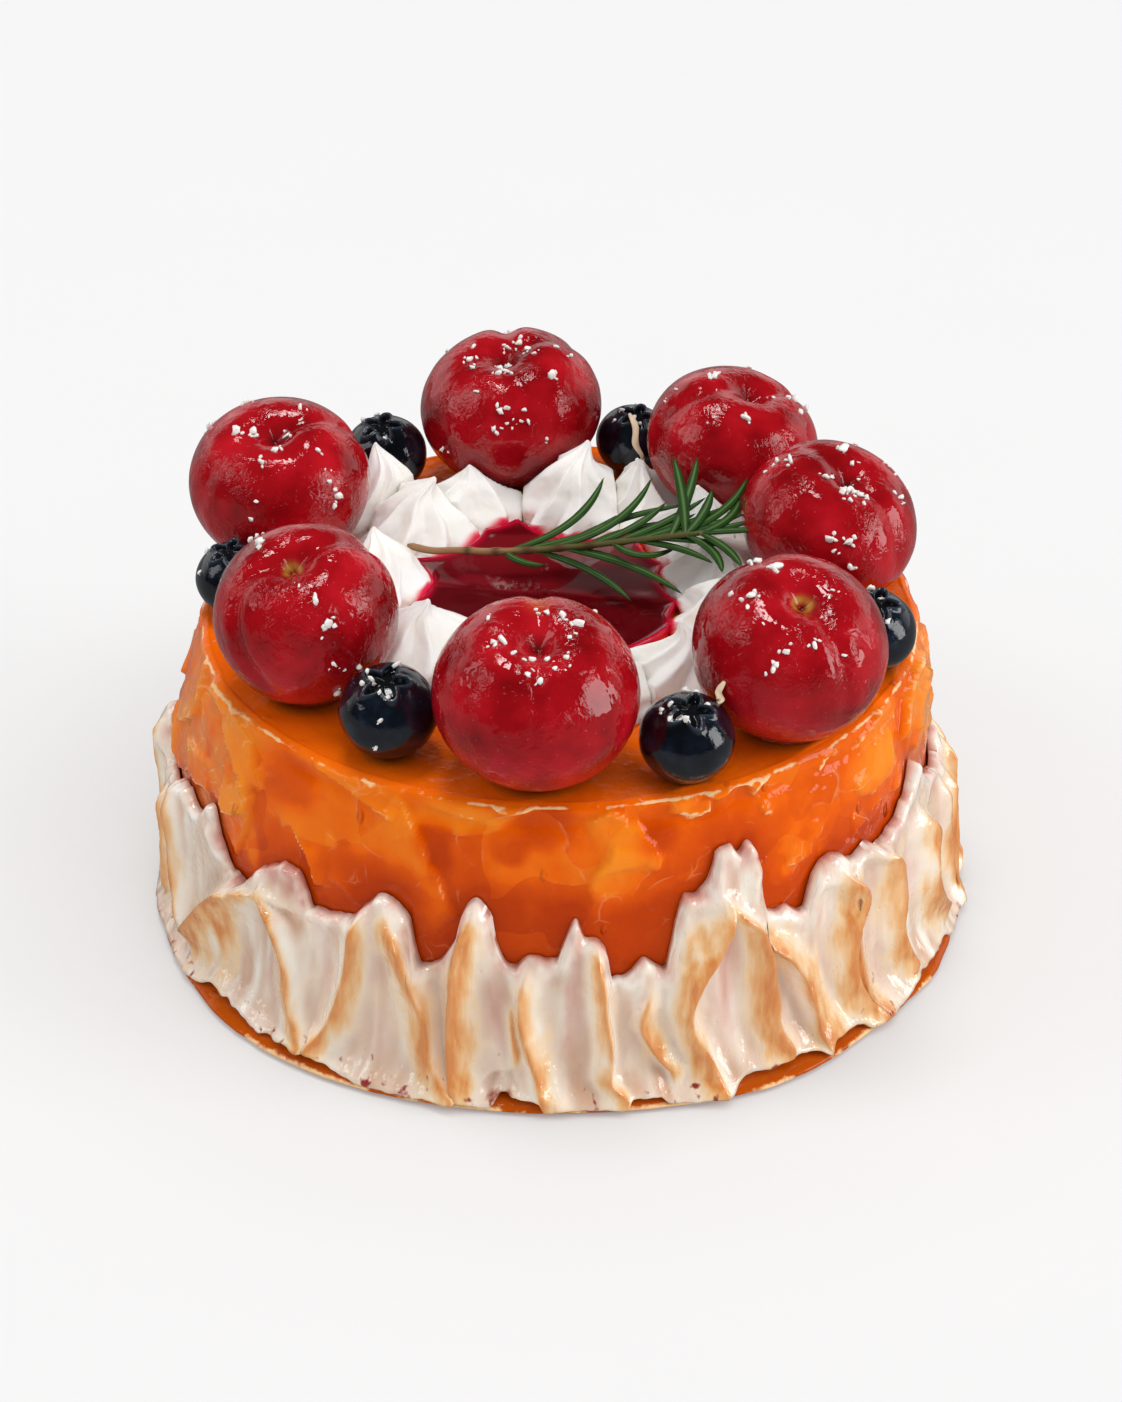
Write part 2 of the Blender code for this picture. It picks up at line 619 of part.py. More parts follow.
def add_needle(name, line):
    """One needle: a flat four-sided blade that is pointed at its tip."""
    heading = np.gradient(line, axis=0)
    side = np.cross(heading, (0.0, 0.0, 1.0))
    side /= np.linalg.norm(side, axis=1)[:, None]
    up = np.cross(side, heading)
    up /= np.linalg.norm(up, axis=1)[:, None]
    wide = NEEDLE_WIDTH / 2.0 * np.array([0.45, 0.9, 1.0, 0.7])[:, None]
    thick = NEEDLE_THICKNESS / 2.0
    middle, side, up = line[:-1], side[:-1], up[:-1]
    rings = np.stack([middle + side * wide, middle + up * thick, middle - side * wide, middle - up * thick], 1)
    return add_round(name, rings, line[0] - 0.2 * (line[1] - line[0]), line[-1], None)


def build_sprig(finish):
    """A sprig of rosemary laid across the cream, its needles fused to the stem."""
    path = lifted(smooth_path(STEM_POINTS, 15) + (0.0, 0.0, TOP + GAP))
    stem = add_stem(path, finish)
    needles = bpy.data.collections.new("needles")
    bpy.context.scene.collection.children.link(needles)
    for number, (place, x, y, height, bow) in enumerate(NEEDLES):
        start = path[round(place * (len(path) - 1))]
        tip = np.array([x, y, TOP + GAP + height])
        needle = add_needle(f"needle_{number}", needle_points(start, tip, bow))
        bpy.context.scene.collection.objects.unlink(needle)
        needles.objects.link(needle)
    fuse(stem, needles)


def clear_scene():
    """Empties the scene before the cake is made."""
    for obj in list(bpy.data.objects):
        bpy.data.objects.remove(obj)


def build_cake():
    """Makes every piece of the cake."""
    build_body(material("orange mirror glaze", (0.76, 0.15, 0.01), 0.18))
    build_skirt(material("toasted meringue", (0.83, 0.68, 0.52), 0.5))
    build_fruit(material("glazed cherry skin", (0.35, 0.006, 0.012), 0.12),
                material("blueberry skin", (0.006, 0.01, 0.022), 0.2))  # fmt: skip
    build_cream(material("whipped cream", (0.87, 0.83, 0.76), 0.5))
    build_sauce(material("red fruit gel", (0.2, 0.005, 0.01), 0.06))
    build_sprig(material("rosemary leaf", (0.03, 0.12, 0.02), 0.45))


clear_scene()
build_cake()
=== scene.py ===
"""Petit mousse cake with a fruit crown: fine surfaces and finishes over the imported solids.

Lengths are in millimetres until Bench.add turns them to metres. Angles round the cake are in
degrees, with 0 at +X and -90 at the front, and heights are over the table.
"""

import sys

import logging
import random
from abc import ABC, abstractmethod
from dataclasses import dataclass, field
from enum import Enum

import bpy
import numpy as np
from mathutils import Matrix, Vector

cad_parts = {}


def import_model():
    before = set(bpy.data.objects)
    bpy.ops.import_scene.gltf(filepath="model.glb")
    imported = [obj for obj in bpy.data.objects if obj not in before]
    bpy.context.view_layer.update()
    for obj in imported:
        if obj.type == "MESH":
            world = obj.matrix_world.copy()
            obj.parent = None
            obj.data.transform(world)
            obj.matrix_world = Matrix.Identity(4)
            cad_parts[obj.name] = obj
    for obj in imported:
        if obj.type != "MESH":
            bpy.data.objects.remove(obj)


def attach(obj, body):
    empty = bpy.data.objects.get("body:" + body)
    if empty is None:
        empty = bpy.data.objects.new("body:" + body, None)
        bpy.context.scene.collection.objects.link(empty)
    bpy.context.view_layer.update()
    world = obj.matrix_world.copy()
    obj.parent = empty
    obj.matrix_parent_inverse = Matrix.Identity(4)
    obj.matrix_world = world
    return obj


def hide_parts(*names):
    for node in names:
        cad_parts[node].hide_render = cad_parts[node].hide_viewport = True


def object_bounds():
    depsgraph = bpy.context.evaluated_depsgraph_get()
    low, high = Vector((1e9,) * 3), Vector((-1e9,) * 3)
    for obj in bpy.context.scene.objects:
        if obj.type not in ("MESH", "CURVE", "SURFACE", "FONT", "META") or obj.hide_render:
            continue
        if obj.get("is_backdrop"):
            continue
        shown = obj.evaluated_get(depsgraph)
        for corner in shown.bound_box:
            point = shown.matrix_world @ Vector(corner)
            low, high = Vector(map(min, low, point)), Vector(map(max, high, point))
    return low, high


Array = np.ndarray
Point = tuple[float, float]
MM = 0.001
LOW_BITS = 0xFFFFFFFF
AXIS_MIX = np.array([73856093, 19349663, 83492791])  # large primes that scatter whole numbers
SEED_MIX, FIRST_MIX, SECOND_MIX = 2654435761, 2246822519, 3266489917
GAP = 0.3  # air between neighbouring pieces, as in the solids
TOP = 45.4  # height of the glazed top
WALL_MIDDLE = 54.0  # radius half way up the wall
Socket = bpy.types.NodeSocket
Value = Socket | str | float | tuple
log = logging.getLogger("mousse_cake")


class Slot(Enum):
    """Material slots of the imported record."""

    GLAZE = "orange_glaze"
    MERINGUE = "toasted_meringue"
    CHERRY = "cherry_skin"
    BLUEBERRY = "blueberry_skin"
    CREAM = "whipped_cream"
    SAUCE = "red_sauce"
    ROSEMARY = "rosemary"


# ---------------------------------------------------------------- numbers and noise


def noise(points: Array, size: float, seed: int) -> Array:
    """Smooth value noise in space, from -1 to 1.

    Each corner of a cubic lattice has a number mixed from its whole coordinates. The eight
    corners round a point are blended with the ease 3t^2 - 2t^3 along each axis.

    Args:
        points: places, (..., 3) in millimetres.
        size: width of a lattice cell in millimetres.
        seed: whole number that picks the pattern.

    Returns:
        One number for each place.
    """
    cell = points / size
    base = np.floor(cell).astype(np.int64)
    ease = cell - base
    ease = ease * ease * (3.0 - 2.0 * ease)
    total = np.zeros(points.shape[:-1])
    for corner in np.ndindex(2, 2, 2):
        mixed = ((base + corner) @ AXIS_MIX + seed * SEED_MIX) & LOW_BITS
        mixed = (mixed ^ (mixed >> 15)) * FIRST_MIX & LOW_BITS
        mixed = (mixed ^ (mixed >> 13)) * SECOND_MIX & LOW_BITS
        value = (mixed ^ (mixed >> 16)) / 2.0**31 - 1.0
        total += value * np.prod(np.where(corner, ease, 1.0 - ease), axis=-1)
    return total


def layered(points: Array, size: float, seed: int, layers: int = 3) -> Array:
    """Noise summed over layers, each half as wide and half as strong as the one before.

    Args:
        points: places, (..., 3) in millimetres.
        size: width of the first layer's cells in millimetres.
        seed: whole number that picks the pattern.
        layers: how many layers are summed.

    Returns:
        One number for each place, mostly from -1 to 1.
    """
    total = sum(noise(points, size / 2**n, seed + n) / 2**n for n in range(layers))
    return total / (2.0 - 0.5 ** (layers - 1))


def eased(value: Array) -> Array:
    """Limits to 0..1 and eases both ends with 3t^2 - 2t^3."""
    held = np.clip(value, 0.0, 1.0)
    return held * held * (3.0 - 2.0 * held)


def bell(away: Array, width: float | Array) -> Array:
    """The bell curve exp(-(away / width)^2)."""
    return np.exp(-((away / width) ** 2))


def circle(count: int) -> Array:
    """That many directions round the cake in degrees, from -180, as one row."""
    return np.linspace(-180.0, 180.0, count, endpoint=False)[None, :]


def turns(count: int) -> Array:
    """That many angles of a full turn in radians, from nought, as one row."""
    return np.linspace(0.0, 2.0 * np.pi, count, endpoint=False)[None, :]


def flowing(at: Array, knots: tuple) -> Array:
    """Smooth curve through knots that never overshoots them.

    A cubic runs between neighbouring knots; its slope at a knot is the harmonic mean of the
    slopes on both sides, or nought where they differ in sign.

    Args:
        at: places to read the curve at, any shape.
        knots: (place, value) pairs, in rising order of place.

    Returns:
        The curve's value at each place.
    """
    places, values = np.array(knots, float).T
    step = np.diff(places)
    slope = np.diff(values) / step
    joint = slope[:-1] * slope[1:]
    mean = np.where(joint > 0.0, 2.0 * joint / np.where(joint > 0.0, slope[:-1] + slope[1:], 1.0), 0.0)
    tangent = np.concatenate([slope[:1], mean, slope[-1:]])
    held = np.clip(at, places[0], places[-1])
    piece = np.clip(np.searchsorted(places, held, side="right") - 1, 0, len(step) - 1)
    part = (held - places[piece]) / step[piece]
    rest = 1.0 - part
    return (
        values[piece] * (1.0 + 2.0 * part) * rest**2
        + values[piece + 1] * part**2 * (3.0 - 2.0 * part)
        + step[piece] * part * rest * (tangent[piece] * rest - tangent[piece + 1] * part)
    )


def apart(angle: Array, centre: float) -> Array:
    """Signed difference of two directions round the cake, in degrees."""
    return (angle - centre + 180.0) % 360.0 - 180.0


def around(radius: Array, angle: Array, height: Array) -> Array:
    """Points from a radius, an angle in degrees and a height, as (..., 3)."""
    turn = np.radians(angle)
    return np.stack(np.broadcast_arrays(radius * np.cos(turn), radius * np.sin(turn), height), -1)


def on_ball(across: Array, turn: Array, flat: float = 1.0) -> Array:
    """Points of a flattened ball of radius 1, from two angles in radians, as (..., 3)."""
    side = np.sin(across)
    return np.stack(np.broadcast_arrays(side * np.cos(turn), side * np.sin(turn), flat * np.cos(across)), -1)


def spots(angle: Array, height: Array, places: tuple, soft: float = 0.6) -> Array:
    """Sum of oval patches on the wall, flat in the middle and eased to nought at the rim.

    Args:
        angle: direction round the cake in degrees.
        height: height in millimetres.
        places: (angle, height, half width in degrees, half height, amount) of each patch.
        soft: share of the patch over which it fades.

    Returns:
        The summed amounts.
    """
    total = np.zeros(np.broadcast(angle, height).shape)
    for centre, level, half_width, half_height, amount in places:
        away = np.hypot(apart(angle, centre) / half_width, (height - level) / half_height)
        total += amount * eased((1.0 + soft / 2.0 - away) / soft)
    return total


def from_line(height: Array, line: Array, above: bool, reach: float = 2.6) -> Array:
    """Distance along the wall from each place to the far side of an uneven level line.

    The nearest place of the far side is straight up or down, or in a neighbouring column, so
    the distance is the least of hypot(way to that column, rise to the line there).

    Args:
        height: heights in millimetres, (rows, columns).
        line: height of the line at each column, (1, columns).
        above: whether the far side is the part below the line.
        reach: how far along the wall columns are compared, in millimetres.

    Returns:
        The distances in millimetres, true up to the reach.
    """
    step = 2.0 * np.pi * WALL_MIDDLE / line.shape[1]
    columns = int(reach / step)
    nearest = np.full(height.shape, np.inf)
    for shift in range(-columns, columns + 1):
        moved = np.roll(line, shift, axis=1)
        rise = np.clip(height - moved if above else moved - height, 0.0, None)
        nearest = np.minimum(nearest, np.hypot(shift * step, rise))
    return nearest


# ---------------------------------------------------------------- surfaces and pieces


@dataclass
class Surface:
    """A closed surface: its points, its faces and the numbers that its finish reads."""

    points: Array
    quads: Array
    triangles: Array
    marks: dict[str, Array] = field(default_factory=dict)


def outward(surface: Surface) -> Surface:
    """Turns the faces round if the surface encloses less than nothing, so they point out."""
    halves = (surface.quads[:, [0, 1, 2]], surface.quads[:, [0, 2, 3]], surface.triangles)
    corners = surface.points[np.concatenate(halves)]
    if np.einsum("ij,ij->i", corners[:, 0], np.cross(corners[:, 1], corners[:, 2])).sum() < 0.0:
        surface.quads = surface.quads[:, ::-1]
        surface.triangles = surface.triangles[:, ::-1]
    return surface


def quads_between(rows: int, columns: int, looped: bool) -> Array:
    """Four-sided faces between rings of points.

    Args:
        rows: number of rings.
        columns: points in a ring, whose last joins its first.
        looped: whether the last ring joins the first one too.

    Returns:
        Point numbers, (faces, 4).
    """
    row, column = np.meshgrid(np.arange(rows if looped else rows - 1), np.arange(columns), indexing="ij")
    after, beside = (row + 1) % rows, (column + 1) % columns
    here, next_ring = row * columns, after * columns
    corners = (here + column, here + beside, next_ring + beside, next_ring + column)
    return np.stack(corners, -1).reshape(-1, 4)


def capped(rings: Array, first: Array, last: Array, marks: dict[str, Array] | None = None) -> Surface:
    """A surface of rings with one point closing it at each end.

    Args:
        rings: (rows, columns, 3).
        first: the point that closes the first ring.
        last: the point that closes the last ring.
        marks: numbers for each ring point, (rows, columns); an end takes its ring's mean.

    Returns:
        The closed surface.
    """
    rows, columns = rings.shape[:2]
    points = np.vstack([rings.reshape(-1, 3), first, last])
    around_first = np.arange(columns)
    around_last = (rows - 1) * columns + around_first
    beside = (around_first + 1) % columns
    fans = [
        np.stack([beside, around_first, np.full(columns, rows * columns)], -1),
        np.stack([around_last, (rows - 1) * columns + beside, np.full(columns, rows * columns + 1)], -1),
    ]
    flat = {k: np.concatenate([v.ravel(), [v[0].mean(), v[-1].mean()]]) for k, v in (marks or {}).items()}
    return outward(Surface(points, quads_between(rows, columns, False), np.concatenate(fans), flat))


def ringed(rings: Array, marks: dict[str, Array]) -> Surface:
    """A surface of rings that closes on itself both ways.

    Args:
        rings: points, (rows, columns, 3).
        marks: numbers for each point, (rows, columns).

    Returns:
        The closed surface.
    """
    flat = {k: v.ravel() for k, v in marks.items()}
    quads = quads_between(*rings.shape[:2], True)
    return outward(Surface(rings.reshape(-1, 3), quads, np.zeros((0, 3), np.int64), flat))


def joined(surfaces: list[Surface]) -> Surface:
    """Several surfaces as one, kept apart as they lie; all must carry the same marks."""
    starts = np.cumsum([0] + [len(s.points) for s in surfaces])
    return Surface(
        np.concatenate([s.points for s in surfaces]),
        np.concatenate([s.quads + n for s, n in zip(surfaces, starts)]),
        np.concatenate([s.triangles + n for s, n in zip(surfaces, starts)]),
        {k: np.concatenate([s.marks[k] for s in surfaces]) for k in surfaces[0].marks},
    )


@dataclass
class Bench:
    """Where the pieces are put together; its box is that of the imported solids."""

    low: Array
    high: Array

    def add(
        self, name: str, surface: Surface, finish: bpy.types.Material, slot: Slot, nodes: tuple[str, ...] = ()
    ) -> None:
        """Makes one visible piece that rides on the cake and stands for its solids.

        Args:
            name: name of the piece.
            surface: its closed surface, in millimetres; it is held inside the box.
            finish: its material.
            slot: the record's slot that the finish belongs to; not used.
            nodes: names of the solids that it replaces.
        """
        mesh = bpy.data.meshes.new(name)
        points = np.clip(surface.points * MM, self.low, self.high)
        corners = np.concatenate([surface.quads.ravel(), surface.triangles.ravel()])
        sizes = np.concatenate([np.full(len(surface.quads), 4), np.full(len(surface.triangles), 3)])
        mesh.vertices.add(len(points))
        mesh.vertices.foreach_set("co", points.astype(np.float32).ravel())
        mesh.loops.add(len(corners))
        mesh.loops.foreach_set("vertex_index", corners.astype(np.int32))
        mesh.polygons.add(len(sizes))
        mesh.polygons.foreach_set("loop_start", (np.cumsum(sizes) - sizes).astype(np.int32))
        mesh.update(calc_edges=True)
        mesh.shade_smooth()
        for mark, values in surface.marks.items():
            mesh.attributes.new(mark, "FLOAT", "POINT").data.foreach_set("value", values.astype(np.float32))
        mesh.materials.append(finish)
        piece = bpy.data.objects.new(name, mesh)
        bpy.context.scene.collection.objects.link(piece)
        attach(piece, "root")
        if nodes:
            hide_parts(*nodes)
        faces = 2 * len(surface.quads) + len(surface.triangles)
        log.info("%s: %d triangles, for %s", name, faces, ", ".join(nodes) or "no solid")


# ---------------------------------------------------------------- shader helpers

USUAL_SETTINGS = {"Math": {"use_clamp": True}, "Mix": {"data_type": "RGBA"}}


def linear(code: str) -> tuple[float, float, float, float]:
    """Turns an sRGB hex colour such as #E0691A to linear red, green, blue and alpha."""
    shares = [int(code[n : n + 2], 16) / 255.0 for n in (1, 3, 5)]
    return (*(c / 12.92 if c <= 0.04045 else ((c + 0.055) / 1.055) ** 2.4 for c in shares), 1.0)


def plug(tree: bpy.types.NodeTree, socket: Socket, value: Value) -> None:
    """Fills an input with a link from another socket, a hex colour or a plain value."""
    if isinstance(value, Socket):
        tree.links.new(value, socket)
    else:
        socket.default_value = linear(value) if isinstance(value, str) else value


def add_node(
    tree: bpy.types.NodeTree,
    kind: str,
    inputs: dict[str | int, Value] | None = None,
    stops: tuple[tuple[float, str], ...] = (),
    output: str = "",
    **settings: str | int | bool,
) -> Socket:
    """Adds a shader node with its settings, its inputs and, on a ramp, its colours.

    Args:
        tree: the tree that gets the node.
        kind: the node's type without its prefix, such as TexNoise.
        inputs: by name or number, a socket to link from, a hex colour or a plain value.
        stops: (place, hex colour) of each colour on a ramp.
        output: name of the output that is wanted.
        settings: the node's own properties, over the usual ones of its type.

    Returns:
        The output of that name, or else the first one that is in use.
    """
    node = tree.nodes.new("ShaderNode" + kind)
    for name, value in {**USUAL_SETTINGS.get(kind, {}), **settings}.items():
        setattr(node, name, value)
    for name, value in (inputs or {}).items():
        plug(tree, node.inputs[name], value)
    for number, (place, code) in enumerate(stops):
        elements = node.color_ramp.elements
        element = elements[number] if number < 2 else elements.new(place)
        element.position, element.color = place, linear(code)
    return node.outputs[output] if output else next(socket for socket in node.outputs if socket.enabled)


@dataclass
class Recipe:
    """A material under way: a tree with one Principled shader."""

    name: str

    def __post_init__(self) -> None:
        """Starts the material and finds the place of each point on the piece."""
        self.material = bpy.data.materials.new(self.name)
        self.material.use_nodes = True
        self.tree = self.material.node_tree
        self.place = self.node("TexCoord", output="Object")

    def node(self, kind: str, *details: dict | tuple, **settings: str | int | bool) -> Socket:
        """Adds a node to this material, as add_node does."""
        return add_node(self.tree, kind, *details, **settings)

    def marks(self, *names: str) -> list[Socket]:
        """The piece's own numbers of those names at each point."""
        return [self.node("Attribute", output="Fac", attribute_name=name) for name in names]

    def grain(
        self, width: float, detail: float = 3.0, upright: float = 1.0, distortion: float = 0.0
    ) -> Socket:
        """Noise whose features are about that many millimetres wide.

        Args:
            width: feature width in millimetres.
            detail: layers of finer noise.
            upright: how much taller than wide the features are.
            distortion: how far they are dragged about.

        Returns:
            The noise as a socket, 0 to 1.
        """
        moved = self.node("Mapping", {"Vector": self.place, "Scale": (1.0, 1.0, 1.0 / upright)})
        inputs = {"Vector": moved, "Scale": 1.0 / (width * MM), "Detail": detail, "Distortion": distortion}
        return self.node("TexNoise", inputs)

    def total(self, start: Value, *terms: tuple[Value, Value]) -> Socket:
        """Adds up numbers, each times its weight, and holds the sum to 0..1 after each one.

        Args:
            start: a socket or number to start from.
            terms: (number, weight) pairs of sockets or numbers.

        Returns:
            The sum as a socket.
        """
        for number, weight in terms:
            start = self.node("Math", {0: number, 1: weight, 2: start}, operation="MULTIPLY_ADD")
        return start

    def coats(self, colour: Value, *layers: tuple[Value, Value]) -> Socket:
        """Lays colours over a first one in turn.

        Args:
            colour: the lowest colour.
            layers: (share, colour) of each; a share of 1 hides all that is below.

        Returns:
            The colour on top as a socket.
        """
        for share, over in layers:
            colour = self.node("Mix", {0: share, 6: colour, 7: over})
        return colour

    def relief(self, *layers: tuple[Value, float, float]) -> Socket:
        """Bends the normal by heights that lie on each other.

        Args:
            layers: (height, its depth in millimetres, strength) of each, from below.

        Returns:
            The normal as a socket.
        """
        normal = None
        for height, depth, strength in layers:
            inputs = {"Height": height, "Distance": depth * MM, "Strength": strength}
            normal = self.node("Bump", inputs if normal is None else {**inputs, "Normal": normal})
        return normal

    def set(self, **inputs: Value) -> bpy.types.Material:
        """Fills the shader's inputs, whose names are given with _ for a space.

        Args:
            inputs: a socket to link, a hex colour or a plain value for each.

        Returns:
            The finished material.
        """
        for name, value in inputs.items():
            plug(self.tree, self.tree.nodes["Principled BSDF"].inputs[name.replace("_", " ")], value)
        return self.material


# ---------------------------------------------------------------- finishes


@dataclass(frozen=True)
class OrangeGlaze:
    """Fruit gel glaze pulled over mousse with a palette knife.

    The gel is clear and glossy, so the wall mirrors the room. Where it lies thick it is a deep red
    orange, thin films are lighter, and a torn edge of the mousse shows as pale peach. Light and
    shade are painted on as well: a pale salmon sheen at the sides, highlights along the knife edges,
    the rim and the foot, shade along the meringue and round the fruit, and a lighter top.
    """

    deep: str = "#B83800"
    warm: str = "#D44C02"
    mid: str = "#EC6202"
    light: str = "#F68A20"
    # pale peach: the mousse at torn edges and thin patches, and painted highlight along the knife edges, the
    # rim and the foot
    edge: str = "#FFD29A"
    # painted reflection: the pale salmon sheen laid on at the sides
    sheen_tone: str = "#E4954F"
    # painted light: the level top is a lighter orange than the wall, making up for the shade the fruit cast
    # on it
    top: str = "#FF6C0A"
    # partly painted shade: darker round each fruit's foot on the top; at the glaze's foot it is the thick
    # pooled glaze
    pooled: str = "#B4540A"

    def shards(self, make: Recipe, width: float) -> tuple[Socket, Socket]:
        """Flats that the knife left, about that many millimetres wide.

        Args:
            make: the material under way.
            width: width of a flat in millimetres.

        Returns:
            A random number for each flat, and the thin lines between flats, both 0 to 1.
        """
        scale = 1.0 / (width * MM)
        drift = {"Vector": make.place, "Scale": 1.1 * scale, "Detail": 1.0}
        bend = make.node("TexNoise", drift, output="Color")
        reach = (0.9 * width * MM,) * 3
        moved = make.node("VectorMath", {0: bend, 1: reach, 2: make.place}, operation="MULTIPLY_ADD")
        cells = {"Vector": moved, "Scale": scale}
        flat = make.node("SeparateColor", {0: make.node("TexVoronoi", cells, output="Color")})
        gap = make.node("TexVoronoi", cells, feature="DISTANCE_TO_EDGE")
        return flat, make.node("MapRange", {0: gap, 1: 0.004, 2: 0.2 / width, 3: 1.0, 4: 0.0})

    def material(self) -> bpy.types.Material:
        """The glaze, which reads the marks tone, edge, milk, top and pool."""
        make = Recipe("orange mirror glaze")
        thickness, edge, sheen, top, pool = make.marks("tone", "edge", "sheen", "top", "pool")
        wall = make.total(1.0, (top, -1.0), (pool, -1.0))
        torn = make.node("MapRange", {0: make.total(make.grain(6.0), (sheen, 0.14)), 1: 0.54, 2: 0.64})
        torn = make.total(0.0, (wall, torn))
        chipped = make.node("MapRange", {0: make.total(make.grain(7.0, 2.0), (sheen, 0.16)), 1: 0.6, 2: 0.68})
        chipped = make.total(0.0, (wall, chipped))
        flat, line = self.shards(make, 9.0)
        chip, crack = self.shards(make, 3.6)
        # tone: thickness of the glaze, with the painted shade along the meringue
        tone = make.total(make.total(thickness, (1.0, -0.19)), (make.grain(9.0, 4.0), 0.2), (flat, 0.15))
        tone = make.total(tone, (make.total(0.0, (chip, chipped)), 0.14))
        raised = make.total(0.0, (tone, 0.8), (make.grain(3.0, 4.0), 0.35))
        tone = make.total(tone, (make.node("MapRange", {0: raised, 1: 0.53, 2: 0.6}), 0.08), (1.0, -0.03))
        stops = ((0.05, self.deep), (0.3, self.warm), (0.55, self.mid), (0.95, self.light))
        # the thin lines between knife flats are painted pale, partly as torn mousse and partly as painted
        # highlight on their edges
        short, long = make.total(0.0, (crack, chipped)), make.total(0.0, (line, torn))
        lines = make.total(0.0, (short, 0.5), (long, 0.7))
        lines = make.total(0.0, (lines, make.total(0.28, (sheen, 1.3))))
        ragged = make.total(0.0, (edge, 0.5), (make.grain(0.9, 3.0), 0.5))
        pale = make.total(lines, (make.node("MapRange", {0: ragged, 1: 0.42, 2: 0.62}), 0.9))
        # sheen is a painted reflection, top a lighter orange painted over the fruit's shade, pool partly
        # painted shade round the fruit, pale partly painted highlight
        layers = ((sheen, self.sheen_tone), (top, self.top), (pool, self.pooled), (pale, self.edge))
        colour = make.coats(make.node("ValToRGB", {0: tone}, stops), *layers)
        steps = make.total(0.0, (make.total(lines, (chip, 0.4)), torn), (flat, 0.5))
        upright = make.node("Mapping", {"Vector": make.place, "Scale": (1.0, 1.0, 0.5)})
        speck = make.node("TexVoronoi", {"Vector": upright, "Scale": 1.0 / (5.0 * MM)})
        drop = make.node("MapRange", {0: speck, 1: 0.05, 2: 0.13, 3: 1.0, 4: 0.0})
        ripple = (
            (make.total(0.0, (steps, wall)), 0.45, 0.8),
            (make.grain(4.0, 3.0), 0.8, 0.45),
            (make.total(0.0, (drop, wall)), 0.6, 1.0),
        )
        return make.set(
            Base_Color=colour,
            Roughness=0.36,
            Specular_IOR_Level=0.0,
            Subsurface_Weight=0.12,
            Subsurface_Radius=(3.0, 1.0, 0.3),
            Subsurface_Scale=MM,
            Normal=make.relief(*ripple, (make.grain(1.6, 5.0), 0.25, 0.5)),
            Coat_IOR=1.38,
            Coat_Weight=make.total(0.85, (top, -0.45)),
            Coat_Roughness=0.06,
            Coat_Normal=make.relief(*ripple),
        )


@dataclass(frozen=True)
class ToastedMeringue:
    """Soft Italian meringue drawn with a knife and browned with a torch along its crests."""

    white: str = "#FFFAF0"
    shade: str = "#FBE3CB"
    toasted: tuple[str, ...] = ("#FEF0DE", "#FBDDB6", "#F4BE80", "#E99F56", "#E08A3E")
    blush: str = "#DA9080"
    stain: str = "#B03C30"
    crest: str = "#D98A46"
    # painted shade: warm beige laid in the low ground between the folds
    thin: str = "#DBB092"
    # painted shade: warm brown laid in hollows that lie below their neighbours
    fold: str = "#D09A70"
    fleck: str = "#9E2A1C"
    bare: str = "#A8400C"

    def material(self) -> bpy.types.Material:
        """The meringue, which reads the marks toast, blush, crest, valley, cavity, fleck and bare."""
        make = Recipe("toasted meringue")
        toast, blush, crest, valley, hollow_shade, fleck, bare = make.marks(
            "toast", "blush", "crest", "valley", "hollow_shade", "fleck", "bare"
        )
        streak = make.grain(1.2, 4.0, 5.0)
        toast = make.total(0.0, (toast, make.node("MapRange", {0: streak, 1: 0.3, 2: 0.7, 3: 0.66, 4: 1.18})))
        browned = make.node("ValToRGB", {0: toast}, tuple(zip((0.1, 0.35, 0.6, 0.85, 1.0), self.toasted)))
        chance = make.total(make.grain(1.8, 2.0, 1.8), (fleck, 0.24))
        colour = make.coats(
            self.white,
            (make.total(-0.6, (make.grain(4.0, 3.0, 2.0), 2.0)), self.shade),
            # valley: painted shade in the low ground between folds
            (valley, self.thin),
            # painted shade in hollows, read from the relief
            (make.total(0.0, (hollow_shade, 0.5)), self.fold),
            (make.total(0.0, (blush, 0.68)), self.blush),
            (make.total(0.0, (blush, streak), (1.0, -0.35)), self.stain),
            (make.total(0.0, (toast, 2.5)), browned),
            (make.total(0.0, (crest, 0.75)), self.crest),
            (make.node("MapRange", {0: chance, 1: 0.8, 2: 0.88}), self.fleck),
            (bare, self.bare),
        )
        bubbles = make.node("TexVoronoi", {"Vector": make.place, "Scale": 1.0 / (1.7 * MM)})
        drag = ((make.total(0.0, (bubbles, 5.0)), 0.12, 0.6), (make.grain(1.4, 4.0, 3.0), 0.35, 0.5))
        return make.set(
            Base_Color=colour,
            Roughness=0.42,
            Subsurface_Weight=0.15,
            Subsurface_Radius=(2.0, 1.4, 1.0),
            Subsurface_Scale=MM,
            Normal=make.relief(*drag),
            Coat_Weight=1.0,
            Coat_IOR=1.85,
            Coat_Roughness=0.07,
            Coat_Normal=make.relief(*drag, (make.grain(1.8, 3.0), 0.5, 0.6)),
        )


